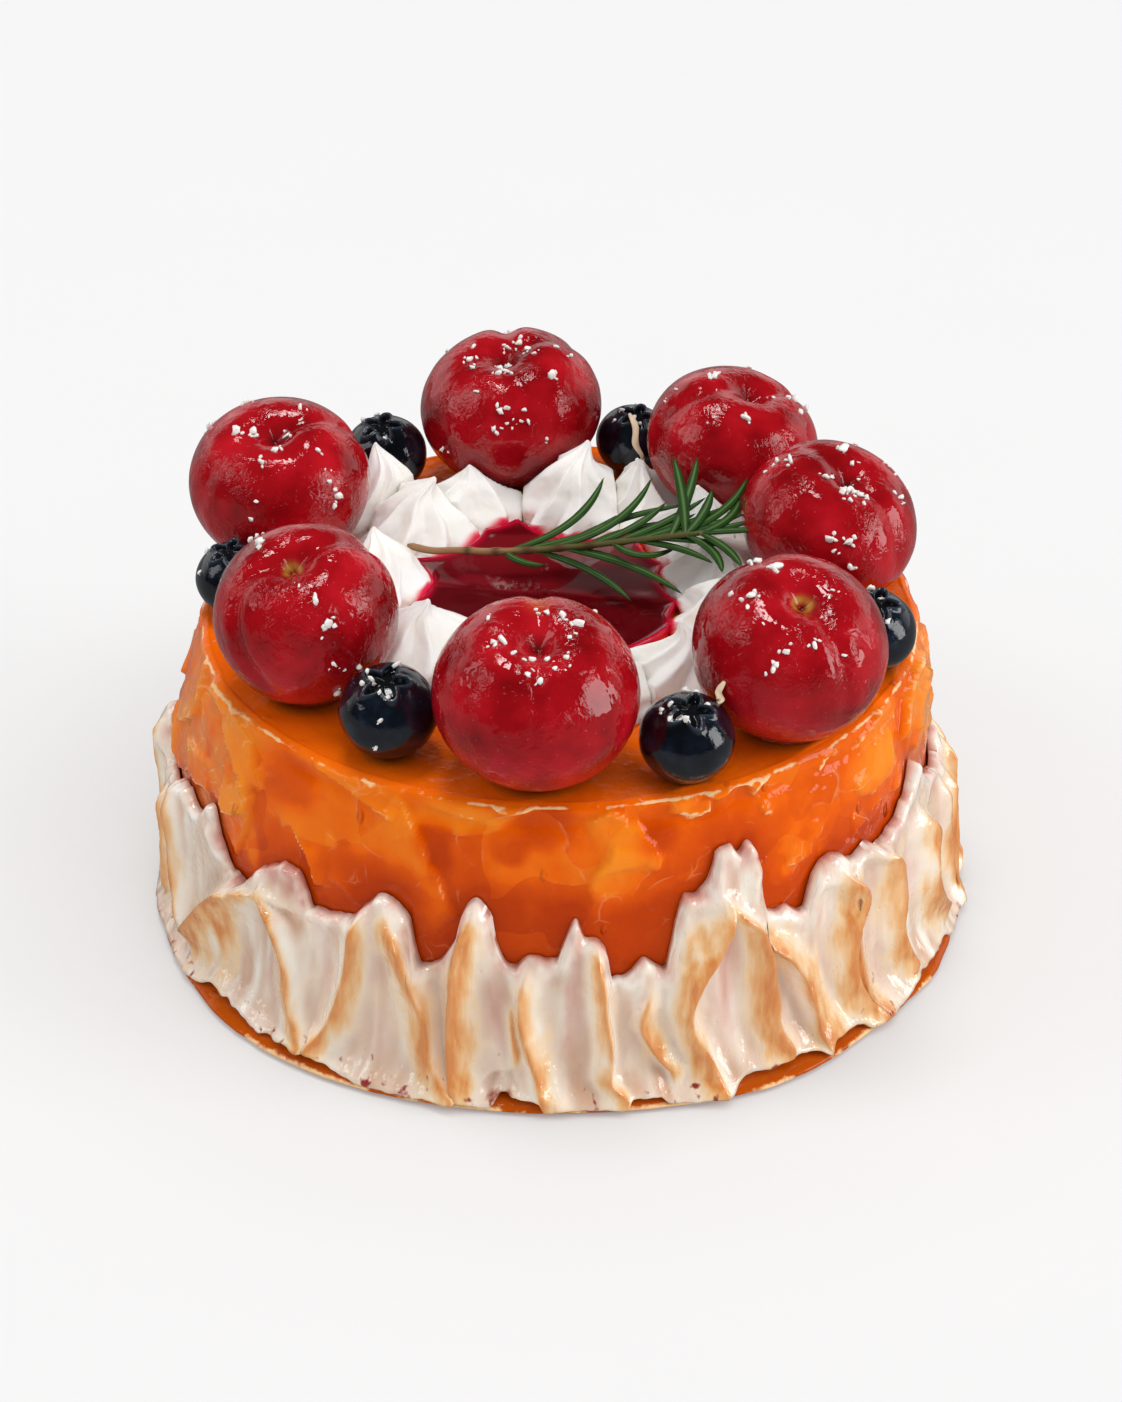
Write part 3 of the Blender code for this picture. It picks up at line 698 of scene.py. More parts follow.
@dataclass(frozen=True)
class CherrySkin:
    """Ripe cherry skin under clear cake gel.

    The skin is a saturated crimson with paler dots. The gel gives a sharp mirror that breaks up
    where it has dried in fine wrinkles.
    """

    dark: str = "#7A050B"
    red: str = "#9C0A14"
    bright: str = "#B81622"
    dot: str = "#C9505A"
    straw: str = "#B98A3A"
    # dark stalk end: a real scar on scarred fruit, painted shade in the stalk hollow on the rest
    pit_and_shade: str = "#3A0A06"
    tint: str = "#BE4A20"

    def material(self) -> bpy.types.Material:
        """The skin, which reads the marks tint, pit and scar."""
        make = Recipe("glazed cherry skin")
        tint, pit_and_shade, scar = make.marks("tint", "pit_and_shade", "scar")
        dots = make.node("TexVoronoi", {"Vector": make.place, "Scale": 1.0 / (1.3 * MM)})
        freckle = make.total(0.0, (make.node("Math", {0: dots, 1: 0.1}, operation="LESS_THAN"), 0.3))
        stops = ((0.3, self.dark), (0.5, self.red), (0.73, self.bright))
        layers = ((freckle, self.dot), (tint, self.tint), (pit_and_shade, self.pit_and_shade), (scar, self.straw))
        colour = make.coats(make.node("ValToRGB", {0: make.grain(7.0, 3.0)}, stops), *layers)
        dried = make.total(-1.25, (make.grain(4.5, 1.0), 3.2))
        wrinkle = make.total(0.0, (make.grain(1.5, 3.0, distortion=1.6), dried))
        swell = (make.grain(4.0, 3.0), 0.7, 0.42)
        return make.set(
            Base_Color=colour,
            Roughness=0.4,
            Specular_IOR_Level=0.0,
            Subsurface_Weight=0.08,
            Subsurface_Radius=(2.0, 0.3, 0.2),
            Subsurface_Scale=MM,
            Normal=make.relief(swell),
            Coat_Weight=1.0,
            Coat_IOR=1.5,
            Coat_Roughness=0.035,
            Coat_Normal=make.relief(swell, (wrinkle, 0.6, 0.6)),
        )


@dataclass(frozen=True)
class BlueberrySkin:
    """Blueberry skin under clear cake gel: near black, with a slate bloom left in patches."""

    ink: str = "#04060A"
    navy: str = "#0B111B"
    bloom: str = "#1D2836"
    calyx: str = "#39424C"
    dish: str = "#0C0D10"

    def material(self) -> bpy.types.Material:
        """The skin, which reads the marks calyx and dish."""
        make = Recipe("glazed blueberry skin")
        calyx, dish = make.marks("calyx", "dish")
        stops = ((0.35, self.ink), (0.55, self.navy), (0.8, self.bloom))
        colour = make.node("ValToRGB", {0: make.grain(3.0, 4.0)}, stops)
        wrinkle = make.relief((make.grain(0.8, 3.0, distortion=1.0), 0.12, 0.3))
        return make.set(
            Base_Color=make.coats(colour, (calyx, self.calyx), (dish, self.dish)),
            Roughness=0.45,
            Specular_IOR_Level=0.0,
            Normal=wrinkle,
            Coat_Weight=1.0,
            Coat_IOR=1.6,
            Coat_Roughness=0.04,
            Coat_Normal=wrinkle,
        )


@dataclass(frozen=True)
class WhippedCream:
    """Piped dairy cream: satin off-white that takes up the red gel where it stands in it."""

    cream: str = "#FFFDF8"
    fold: str = "#F8F4EC"
    stain: str = "#EA0C46"

    def material(self) -> bpy.types.Material:
        """The cream, which reads the mark stain."""
        make = Recipe("whipped cream")
        shaded = make.total(-0.4, (make.grain(5.0), 1.6))
        return make.set(
            Base_Color=make.coats(self.cream, (shaded, self.fold), (make.marks("stain")[0], self.stain)),
            Roughness=0.45,
            Subsurface_Weight=0.45,
            Subsurface_Radius=(2.4, 2.0, 1.6),
            Subsurface_Scale=MM,
            Normal=make.relief((make.grain(1.3, 4.0), 0.25, 0.35)),
        )


@dataclass(frozen=True)
class RedGel:
    """Set red fruit gel: dark, deep and mirror smooth."""

    depth: str = "#70141C"
    # painted shade: the folded front of the pool, darker than the level back
    deepest: str = "#500309"
    thin: str = "#C80C34"

    def material(self) -> bpy.types.Material:
        """The gel, which reads the marks deep and thin."""
        make = Recipe("red fruit gel")
        deep, thin = make.marks("deep", "thin")
        return make.set(
            # deep: painted shade on the folded front of the pool
            Base_Color=make.coats(self.depth, (deep, self.deepest), (thin, self.thin)),
            Roughness=0.04,
            Specular_IOR_Level=0.45,
            Normal=make.relief((make.grain(7.0, 1.0), 0.1, 0.12)),
        )


@dataclass(frozen=True)
class RosemaryLeaf:
    """Fresh rosemary: leathery dark needles with a paler line along each, on a woody stem."""

    dark: str = "#15320A"
    leaf: str = "#274E16"
    pale: str = "#7A9A5A"
    wood: str = "#9A7550"
    joint: str = "#4A2E1A"

    def material(self) -> bpy.types.Material:
        """The sprig, which reads the marks rib, wood and joint."""
        make = Recipe("rosemary leaf and stem")
        rib, wood, joint = make.marks("rib", "wood", "joint")
        layers = ((make.grain(2.5), self.leaf), (rib, self.pale), (wood, self.wood), (joint, self.joint))
        return make.set(
            Base_Color=make.coats(self.dark, *layers),
            Roughness=0.4,
            Specular_IOR_Level=0.25,
            Normal=make.relief((make.grain(0.5), 0.05, 0.4)),
        )


@dataclass(frozen=True)
class SugarCrystal:
    """Coarse pearl sugar: opaque white with softly shining facets."""

    white: str = "#FBFAF6"
    shade: str = "#E8E2DC"

    def material(self) -> bpy.types.Material:
        """The crystals."""
        make = Recipe("pearl sugar")
        return make.set(
            Base_Color=make.coats(self.white, (make.grain(0.8), self.shade)),
            Roughness=0.25,
            Subsurface_Weight=0.2,
            Subsurface_Radius=(0.6, 0.6, 0.6),
            Subsurface_Scale=MM,
        )


@dataclass(frozen=True)
class CreamCurl:
    """Shavings of ivory chocolate: smooth and waxy."""

    ivory: str = "#F1DFC4"
    edge: str = "#DDBE98"

    def material(self) -> bpy.types.Material:
        """The shavings."""
        make = Recipe("ivory chocolate shaving")
        return make.set(Base_Color=make.coats(self.ivory, (make.grain(1.5), self.edge)), Roughness=0.4)


# ---------------------------------------------------------------- the glazed mousse


@dataclass(frozen=True)
class KnifeEdge:
    """Where a stroke of the knife ended: glaze steps up on the left of the line's run."""

    lift: float
    fade: float
    pale: float
    line: tuple[Point, ...]


# Strokes read from the front of the cake: lift, fade, paleness, and the line as (angle, height).
FRONT_EDGES = (
    KnifeEdge(0.8, 6.0, 1.0, ((-160, 44.5), (-155, 43.8), (-152.5, 42.6), (-150, 41), (-148, 39),
        (-146, 37.5), (-144.8, 36.6), (-143.3, 35))),
    KnifeEdge(0.6, 5.0, 0.25, ((-141.5, 35.5), (-140.3, 36.8), (-141.5, 39), (-143, 41.5), (-144.5, 43.4),
        (-147, 44.5), (-151, 45))),
    KnifeEdge(1.1, 4.0, 0.9, ((-149.2, 29.7), (-147.5, 30.3), (-145, 31), (-142.6, 32.5), (-142.1, 34.5),
        (-142.6, 36.5), (-144, 37.6))),
    KnifeEdge(0.5, 2.0, 0.7, ((-150.5, 37), (-149, 35), (-148.6, 32), (-148.9, 30))),
    KnifeEdge(0.8, 4.0, 0.7, ((-172, 31.5), (-169, 33.2), (-166, 35.5), (-163.5, 37.5), (-163, 40),
        (-163.5, 43), (-165, 45))),
    KnifeEdge(0.5, 3.0, 0.8, ((-154, 33.8), (-156, 33.8), (-159, 33), (-162, 32.6), (-165, 32.5))),
    KnifeEdge(0.6, 4.0, 0.6, ((-172, 24.5), (-168, 26), (-163, 27.6), (-158, 28.8), (-153, 29.8),
        (-149.5, 30))),
    KnifeEdge(0.5, 3.0, 0.7, ((-146.5, 23), (-145.5, 25.5), (-144, 28), (-142.8, 30.5), (-142.3, 32.5))),
    KnifeEdge(0.5, 2.5, 0.7, ((-136, 32.8), (-135, 33.7), (-133.5, 34), (-132.3, 33.4), (-131.5, 32),
        (-130, 30.5), (-129, 28.5), (-128.4, 26))),
    KnifeEdge(0.5, 3.0, 0.8, ((-130, 44), (-128, 44.2), (-126, 43.8), (-122.5, 42.8), (-120.5, 41.8),
        (-117, 41.2), (-114.5, 41))),
    KnifeEdge(0.7, 6.0, 0.65, ((-104.6, 27.9), (-106.3, 29.5), (-106.8, 31), (-107.2, 33), (-108, 34.5),
        (-109.5, 35.5), (-109.6, 36.5), (-110, 38.5), (-111.3, 39.8), (-112, 41), (-113.5, 43), (-115, 44))),
    KnifeEdge(0.3, 2.0, 0.6, ((-110, 43.6), (-107, 43.3), (-104, 42.8), (-99, 42.4), (-96.5, 43.8))),
    KnifeEdge(0.3, 2.0, 0.5, ((-106, 40.7), (-103, 40.5), (-100.5, 41), (-98.5, 42.2))),
    KnifeEdge(0.5, 1.5, 1.0, ((-100, 44.6), (-98.5, 43.9), (-96, 44), (-94, 44.6))),
    KnifeEdge(0.2, 0.6, 0.9, ((-114.5, 37.7), (-114, 38.4), (-113.3, 39))),
    KnifeEdge(0.3, 2.0, 0.5, ((-126, 28.5), (-124, 28.3), (-122.5, 27), (-121, 25.5), (-120.5, 24))),
    KnifeEdge(0.3, 2.0, 0.4, ((-130, 32), (-129, 29.5), (-128, 26))),
    KnifeEdge(0.6, 6.0, 0.5, ((-76, 35), (-75.5, 37), (-76.5, 39), (-78, 40), (-77.8, 41), (-78.5, 42),
        (-80, 42), (-80.8, 43.2), (-83, 44), (-86.5, 42.7))),
    KnifeEdge(0.4, 4.0, 0.6, ((-82, 39.5), (-82.6, 37.5), (-84, 36.2), (-85, 35), (-85.3, 33), (-84.8, 31))),
    KnifeEdge(0.2, 1.0, 0.8, ((-77.5, 36.3), (-76.5, 36), (-76, 34.8))),
    KnifeEdge(0.7, 1.5, 1.0, ((-73.5, 43.3), (-71, 42.8), (-69, 42.3), (-67.5, 42.6), (-67.3, 44))),
    KnifeEdge(0.6, 1.2, 1.0, ((-68, 44.8), (-66, 44), (-64, 44.6), (-61, 44.6), (-60.2, 43.7), (-59.7, 43),
        (-58.5, 44.3), (-56, 44.8))),
    KnifeEdge(0.2, 0.8, 0.6, ((-58.5, 41.2), (-57.6, 39.8))),
    KnifeEdge(0.3, 0.8, 1.0, ((-58, 39.5), (-57.3, 39.9), (-56.5, 39.4))),
    KnifeEdge(0.3, 3.0, 0.4, ((-50.5, 30), (-50, 31), (-49.7, 33), (-48, 33.3), (-47, 34.5))),
    KnifeEdge(0.3, 0.7, 1.0, ((-48, 31.3), (-47.8, 29.6))),
    KnifeEdge(0.3, 1.5, 0.6, ((-54.5, 30.8), (-53, 30.3), (-51, 30.6))),
    KnifeEdge(0.4, 1.2, 1.0, ((-46.8, 42.2), (-45.8, 43.6), (-43, 44.2))),
    KnifeEdge(0.3, 0.8, 1.0, ((-44, 43.8), (-42.8, 43.1))),
    KnifeEdge(0.5, 4.0, 0.8, ((-27, 44.2), (-31, 44.7), (-33.5, 44.2), (-35, 43.5), (-37, 43.2),
        (-38.5, 42.6))),
    KnifeEdge(0.4, 5.0, 0.5, ((-40, 38), (-39.5, 36.3), (-38, 35), (-35.5, 34.5), (-34, 35), (-31, 35),
        (-30, 34.5))),
    KnifeEdge(0.4, 3.0, 0.25, ((-27, 35.5), (-28.5, 36.3), (-29.8, 38), (-30, 42))),
    KnifeEdge(0.4, 1.0, 1.0, ((-27.5, 41.7), (-26.5, 42.6), (-25.2, 43))),
    KnifeEdge(1.1, 7.0, 0.8, ((-10, 44.2), (-17, 44), (-19, 43), (-22, 41.9), (-23.5, 40.5), (-25, 38.8),
        (-25.3, 37))),
    KnifeEdge(0.5, 3.0, 0.6, ((-23.5, 37.5), (-23.5, 35), (-23, 33.3))),
    KnifeEdge(0.6, 4.0, 0.5, ((-22.5, 35.5), (-20.5, 33.7), (-18, 33.5), (-15, 33.8), (-12, 33), (-8, 32.5))),
    KnifeEdge(0.3, 1.5, 0.7, ((-40.8, 33), (-40.5, 31), (-40.4, 29))),
    KnifeEdge(0.3, 0.8, 0.6, ((-36.5, 31.2), (-35.5, 32.1), (-34.3, 31.8), (-34.2, 31))),
    KnifeEdge(0.3, 1.5, 0.4, ((-39.5, 30.3), (-37.5, 31.1))),
    KnifeEdge(0.4, 3.0, 0.25, ((-29, 31.5), (-26, 30), (-23.5, 28.5), (-21.5, 27.5))),
)  # fmt: skip

# Thick (darker) and thin (lighter) glaze: (angle, height, half width, half height, amount).
# The five broad spots at 26 to 30 mm darken the band over the meringue: partly thick glaze, partly painted
# shade.
GLAZE_TONES = (
    (-136, 39.5, 6, 3.6, -0.4),
    (-91, 41.5, 4.5, 3.2, -0.5),
    (-97, 38.3, 3.2, 1.7, -0.45),
    (-108, 37, 2.2, 4.5, -0.55),
    (-75, 39.8, 3.5, 2.6, -0.4),
    (-117, 36, 5, 6, 0.2),
    (-104, 42, 6, 1.6, 0.35),
    (-84, 38, 5, 6, 0.25),
    (-65, 40, 7, 5, 0.15),
    (-35, 38.5, 5, 3.6, 0.35),
    (-118, 30, 9, 4, -0.4),
    (-95, 28, 10, 5, -0.35),
    (-78, 26, 8, 4, -0.4),
    (-55, 26.5, 8, 3.5, -0.3),
    (-40, 27, 9, 3, -0.25),
    (-144, 34, 2.2, 3.2, 0.5),
    (-143.5, 26, 1.4, 4, 0.4),
)
# Painted reflection: pale salmon patches where the wall turns away at the sides, as the gel mirrors
# the bright room at grazing angles; the same patches go on round the back.
GRAZING_SHEEN = (
    (-161, 36, 17, 11, 0.75),
    (-6, 37, 17, 9, 0.8),
    (40, 36, 18, 10, 0.35),
    (88, 34, 14, 8, 0.4),
    (140, 37, 16, 9, 0.45),
)
# Pale patches where the mousse shows through a thin film.
PEACH_PATCHES = (
    (-124, 44.5, 2.0, 0.8, 0.9),
    (-119, 44.3, 1.7, 0.8, 1.0),
    (-70.5, 42.9, 2.2, 0.5, 0.8),
    (-45.8, 42.9, 0.8, 0.8, 1.0),
    (-42.8, 43.6, 0.8, 0.4, 1.0),
    (-38.0, 43.0, 0.8, 0.4, 0.9),
    (-26.3, 42.4, 1.0, 0.6, 1.0),
    (24, 43.8, 3.0, 0.8, 0.8),
    (71, 44.2, 2.4, 0.7, 0.8),
    (112, 43.9, 3.4, 0.8, 0.8),
    (163, 44.1, 2.6, 0.7, 0.8),
)
# The body's own thick places, as in its solid: (angle, height, half widths, rise).
GLAZE_SMEARS = (
    (180.0, 27.0, 26.0, 12.0, 2.2),
    (-156.0, 40.0, 5.0, 5.0, 0.8),
    (-145.5, 34.5, 4.5, 4.5, 0.9),
    (-109.0, 38.0, 9.0, 5.0, 0.4),
    (-80.0, 38.0, 9.0, 5.0, 0.4),
    (-38.0, 38.0, 11.0, 6.0, 0.4),
    (5.0, 35.0, 14.0, 9.0, 0.5),
    (62.0, 36.0, 12.0, 7.0, 0.4),
    (118.0, 34.0, 12.0, 8.0, 0.5),
)
# Where the foot spreads: (angle, half width in degrees, millimetres).
FOOT_SWELLS = (
    (-131.0, 22.0, 1.7), (-60.0, 14.0, 1.5), (-28.0, 7.0, 0.7), (40.0, 24.0, 0.9), (128.0, 30.0, 1.1),
)  # fmt: skip
# Radius of the wall at each height, as (height, radius).
WALL_OUTLINE = (
    (2.7, 54.9), (15.0, 54.1), (21.0, 53.9), (26.0, 53.6), (31.0, 53.3), (36.0, 52.8), (40.5, 52.2),
    (42.6, 51.5),
)  # fmt: skip
WALL_BASE = 2.7
DEGREE = 0.93  # millimetres along the wall for one degree
STRAY_STEP = 2.2  # length of one straight part of a stroke at the back
STRAY_HEIGHTS = (24.0, 44.6)


def wall_radius(angle: Array, height: Array) -> Array:
    """Radius of the wall with its thick smears, as the solid has it.

    The outline's radius at each height, plus a bell-shaped rise for each smear, faded out at
    the wall's base and at the rim.

    Args:
        angle: direction in degrees.
        height: height in millimetres.

    Returns:
        Radius in millimetres.
    """
    rise = np.zeros(np.broadcast(angle, height).shape)
    for centre, level, half_width, half_height, depth in GLAZE_SMEARS:
        rise += depth * bell(apart(angle, centre), half_width) * bell(height - level, half_height)
    fade = np.clip((height - WALL_BASE) / 4.0, 0.0, 1.0) * np.clip((TOP - height) / 1.5, 0.0, 1.0)
    return flowing(height, WALL_OUTLINE) + rise * fade


def beside_stroke(run: Array, across: Array, up: Array) -> tuple[Array, Array, Array]:
    """Where places lie beside and along a bent line on the unrolled wall.

    Args:
        run: the line's corners as (way along the wall, height), in millimetres.
        across: ways along the wall of the places.
        up: their heights.

    Returns:
        The distance to the line, a number that is positive on its left, and the share of its
        length at the nearest point.
    """
    step = np.diff(run, axis=0)
    length = np.hypot(*step.T)
    before = np.cumsum(length) - length
    nearest, side, place = np.full(across.shape, np.inf), np.zeros(across.shape), np.zeros(across.shape)
    for start, way, size, done in zip(run, step, length, before):
        part = np.clip(((across - start[0]) * way[0] + (up - start[1]) * way[1]) / size**2, 0.0, 1.0)
        off_x, off_y = across - start[0] - part * way[0], up - start[1] - part * way[1]
        away = np.hypot(off_x, off_y)
        closer = away < nearest
        side = np.where(closer, way[0] * off_y - way[1] * off_x, side)
        place = np.where(closer, done + part * size, place)
        nearest = np.minimum(nearest, away)
    return nearest, side, place / length.sum()


def knife_relief(angle: Array, height: Array, edges: list[KnifeEdge], warp: Array) -> tuple[Array, Array]:
    """Steps that knife strokes leave in the glaze.

    The distance to a stroke's line is taken along the wall. On its left the lift dies away
    with the distance over the fade; on its right it drops within a third of a millimetre.

    Args:
        angle: direction in degrees, (1, columns).
        height: height in millimetres, (rows, 1).
        edges: the strokes.
        warp: millimetres that make the lines uneven, (rows, columns).

    Returns:
        The rise in millimetres and how pale the torn edge is painted, partly as highlight, 0 to 1.
    """
    rise, pale = np.zeros(warp.shape), np.zeros(warp.shape)
    for edge in edges:
        line = np.array(edge.line, float)
        width = np.ptp(line[:, 0])
        middle = line[:, 0].min() + width / 2.0
        near = np.abs(apart(angle[0], middle)) < width / 2.0 + 3.0 * edge.fade
        across = apart(angle[:, near], middle) * DEGREE + 0.5 * warp[:, near]
        up = height + 0.5 * warp[:, near][:, ::-1]
        nearest, side, place = beside_stroke((line - (middle, 0.0)) * (DEGREE, 1.0), across, up)
        ends = np.clip(np.minimum(place, 1.0 - place) / 0.12, 0.0, 1.0) ** 0.5
        fall = np.where(side > 0.0, np.exp(-nearest / edge.fade), bell(nearest, 0.3))
        rise[:, near] += ends * edge.lift * fall
        pale[:, near] = np.maximum(pale[:, near], edge.pale * ends * bell(nearest, 0.32))
    return rise, pale


def stray_edges(first: float, last: float, count: int, seed: int) -> list[KnifeEdge]:
    """Strokes for the sides and back that the camera doesn't show.

    Each line starts at a drawn place and bends a little at every step of about 2 mm.

    Args:
        first: direction where they start, in degrees.
        last: direction where they end.
        count: how many.
        seed: seed of the draw.

    Returns:
        The strokes.
    """
    draw = random.Random(seed)
    edges = []
    for number in range(count):
        angle = first + (last - first) * (number + draw.random()) / count
        height, heading = draw.uniform(27.0, 43.0), draw.uniform(0.0, 2.0 * np.pi)
        line = []
        for _ in range(draw.randint(4, 8)):
            line.append((angle, float(np.clip(height, *STRAY_HEIGHTS))))
            heading += draw.uniform(-0.7, 0.7)
            angle += STRAY_STEP * np.cos(heading) / DEGREE
            height += STRAY_STEP * np.sin(heading)
        lift, fade, pale = draw.uniform(0.3, 0.9), draw.uniform(2.0, 6.0), draw.uniform(0.2, 0.9)
        edges.append(KnifeEdge(lift, fade, pale, tuple(line)))
    return edges


def foot_swell(angle: Array) -> Array:
    """How far the foot bulges beyond its plain circle, in millimetres."""
    return sum(depth * bell(apart(angle, at), width) for at, width, depth in FOOT_SWELLS)


@dataclass
class GlazedMousse:
    """The body of the cake: mousse under orange glaze, with a pooled foot and a flat top."""

    columns: int = 850
    rim_turn: float = 1.4  # radius of the rounded top edge
    rim_radius: float = 50.1
    hidden_rows: int = 9  # behind the meringue
    open_rows: int = 66
    bead_height: float = 44.3
    pool_height: float = 3.0  # below it lies the pooled glaze of the foot
    smear_top: float = 42.4  # above it the thick smears keep their size
    strays: tuple = (-4.0, 186.0, 46, 3)  # first and last direction, number and seed of the hidden strokes
    foot_section: tuple[Point, ...] = (
        (59.2, 0.05), (59.7, 0.25), (60.0, 0.55), (59.75, 0.9), (59.1, 1.2), (58.0, 1.5), (56.6, 1.9),
        (55.4, 2.3),
    )  # fmt: skip
    top_rings: tuple[float, ...] = (
        49.7, 49.2, 48.6, 48.0, 47.4, 46.8, 46.0, 45.2, 44.2, 43.0, 41.6, 40.0, 38.2, 36.2, 33.8, 31.0, 25.0,
        12.0,
    )  # fmt: skip

    def outline(self) -> Array:
        """The plain section from the middle of the base over the wall to the top, (rows, 2).

        Returns:
            Radius and height of each ring in millimetres.
        """
        base = [(r, 0.0) for r in (20.0, 40.0, 54.0, 58.2)]
        hidden = np.linspace(WALL_BASE, 18.0, self.hidden_rows, endpoint=False)
        heights = np.concatenate([hidden, np.linspace(18.0, TOP - self.rim_turn, self.open_rows)])
        wall = np.stack([flowing(heights, WALL_OUTLINE), heights], -1)
        turn = np.radians(np.linspace(8.0, 90.0, 11))
        rim_x = self.rim_radius + (wall[-1, 0] - self.rim_radius) * np.cos(turn)
        rim = np.stack([rim_x, TOP - self.rim_turn + self.rim_turn * np.sin(turn)], -1)
        top = [(r, TOP) for r in self.top_rings]
        return np.concatenate([base, self.foot_section, wall, rim, top])

    def surface(self, skirt_top: Array, hollows: list[tuple]) -> Surface:
        """The glazed body.

        The plain section is swept round. The wall gets the solid's smears, steps of the knife
        and a rough bead at the rim; the top gets a low swell that climbs to each fruit.

        Args:
            skirt_top: height of the meringue at each column; the relief stays above it.
            hollows: (x, y, radius) of each ring where a fruit touches the top.

        Returns:
            The closed surface with the marks tone, edge, milk, top and pool.
        """
        angle = circle(self.columns)
        radius, level = self.outline().T[:, :, None]
        plain = around(radius, angle, level)
        wavy, rough = layered(plain, 4.0, 11), layered(plain, 1.3, 17)
        on_wall = (level > WALL_BASE) & (radius > self.rim_radius - 0.2)
        clear = eased((level - np.maximum(skirt_top, 16.0)) / 3.0) * on_wall
        clear = clear * eased((TOP + 0.4 - level) / 1.2)
        edges = list(FRONT_EDGES) + stray_edges(*self.strays)
        rise, pale = knife_relief(angle, level, edges, wavy + 0.4 * rough)
        bead = bell(level - self.bead_height, 0.9) * eased(0.5 + 1.6 * layered(plain, 5.0, 29)) * on_wall
        lift = clear * (1.35 * rise + 0.16 * wavy + 0.07 * rough) + 0.35 * bead
        bulge = foot_swell(angle) + 0.25 * wavy
        foot = np.where((level < WALL_BASE) & (radius > 55.0), bulge, 0.0) * eased(level / 0.3)
        under_rim = np.minimum(level, self.smear_top)
        smear = np.where(on_wall, wall_radius(angle, under_rim) - flowing(under_rim, WALL_OUTLINE), 0.0)
        smear = smear * eased((TOP - level) / 3.0)
        out = np.where(radius > 50.0, radius + smear + foot, radius) + lift
        near = self.meniscus(plain, hollows)
        is_top = (level > TOP - 0.3) & (radius < self.rim_radius + 0.2)
        height = np.where(is_top, TOP - 0.18 + 0.1 * wavy + 0.5 * near, level)
        height = height + 0.25 * bead * (level < TOP - 0.1)
        marks = self.colours(plain, angle, skirt_top, rise, pale * clear, on_wall)
        # pool: painted shade in a ring where each fruit meets the top, and the darker thick glaze of the foot
        marks["pool"] = np.clip(1.2 * near * is_top + 0.75 * (level < self.pool_height), 0.0, 0.9)
        return capped(around(out, angle, height), np.zeros(3), np.array([0.0, 0.0, TOP - 0.1]), marks)

    def colours(
        self, plain: Array, angle: Array, skirt_top: Array, rise: Array, torn: Array, on_wall: Array
    ) -> dict[str, Array]:
        """How thick, pale and level the glaze is at each place, with painted sheen, highlights and shade.

        It is painted darker towards the meringue, as shade where the meringue meets it. Pale are the torn
        edges, partly painted highlight, and the patches where the mousse shows; a broken line at the rim
        and a thin line round the foot's outer edge are painted highlights. A pale salmon sheen is painted
        at the sides. Noise bends and breaks up every patch.

        Args:
            plain: places on the plain section, (rows, columns, 3).
            angle: direction of each column in degrees.
            skirt_top: height of the meringue at each column.
            rise: relief of the knife strokes.
            torn: how pale their edges show, 0 to 1.
            on_wall: which rows belong to the wall.

        Returns:
            The marks tone, edge, milk and top.
        """
        level, wavy = plain[..., 2], layered(plain, 4.0, 11)
        bent = angle + 2.4 * layered(plain, 7.0, 43, 2), level + 2.0 * layered(plain, 7.0, 47, 2)
        broken = eased(0.55 + 1.3 * layered(plain, 2.4, 31))
        over_skirt = np.clip(from_line(level, skirt_top, True, 9.0) + 1.2 * wavy, 0.0, None)
        # painted shade: the glaze darkens within a few millimetres of the meringue's torn top
        deep = 0.5 * np.exp(-over_skirt / 3.2)
        tone = 0.55 + 0.55 * spots(*bent, GLAZE_TONES, 1.0) - deep + 0.4 * rise + 0.06 * wavy
        # painted highlights: a broken bright line along the rim, and a thin one round the foot's outer edge
        rim_highlight = bell(level - 44.75 - 0.12 * wavy, 0.2) * eased(0.65 + 1.6 * layered(plain, 2.6, 41))
        is_brim = np.hypot(plain[..., 0], plain[..., 1]) > 59.5
        brim_highlight = bell(level - 0.65, 0.35) * is_brim * eased(0.55 + 1.4 * layered(plain, 5.0, 57))
        patches = 0.6 * spots(*bent, PEACH_PATCHES, 0.8) * broken * (level < 44.9)
        # painted reflection: pale salmon sheen at the sides, where the gel mirrors the bright room at a
        # grazing angle
        smears = 0.75 * spots(*bent, GRAZING_SHEEN, 0.9) * eased(0.55 + 0.9 * layered(plain, 3.0, 53))
        return {
            "tone": np.clip(tone, 0.0, 1.0),
            "edge": np.clip(brim_highlight + 0.85 * torn * broken + rim_highlight * on_wall + patches, 0.0, 1.0),
            "sheen": np.clip(smears * on_wall, 0.0, 0.9),
            # top: the level top, painted lighter to make up for the fruit's shade
            "top": np.clip(eased((level - 44.6) / 0.8) * (0.85 + 0.15 * wavy), 0.0, 1.0),
        }

    def meniscus(self, plain: Array, hollows: list[tuple]) -> Array:
        """How closely the glaze hugs a fruit: 1 at its ring of contact, gone 2 mm away.

        Args:
            plain: places on the plain section, (rows, columns, 3).
            hollows: (x, y, radius) of each ring of contact.

        Returns:
            The closeness, 0 to 1.
        """
        near = np.zeros(plain.shape[:-1])
        for x, y, reach in hollows:
            near = np.maximum(near, bell(np.hypot(plain[..., 0] - x, plain[..., 1] - y) - reach, 1.3))
        return near


# ---------------------------------------------------------------- the meringue skirt


@dataclass(frozen=True)
class Crest:
    """A sharp fold where two strokes of the knife met: its line runs from its top to its foot."""

    rise: float
    left: float  # half widths in degrees, towards smaller and larger angles
    right: float
    line: tuple[Point, ...]


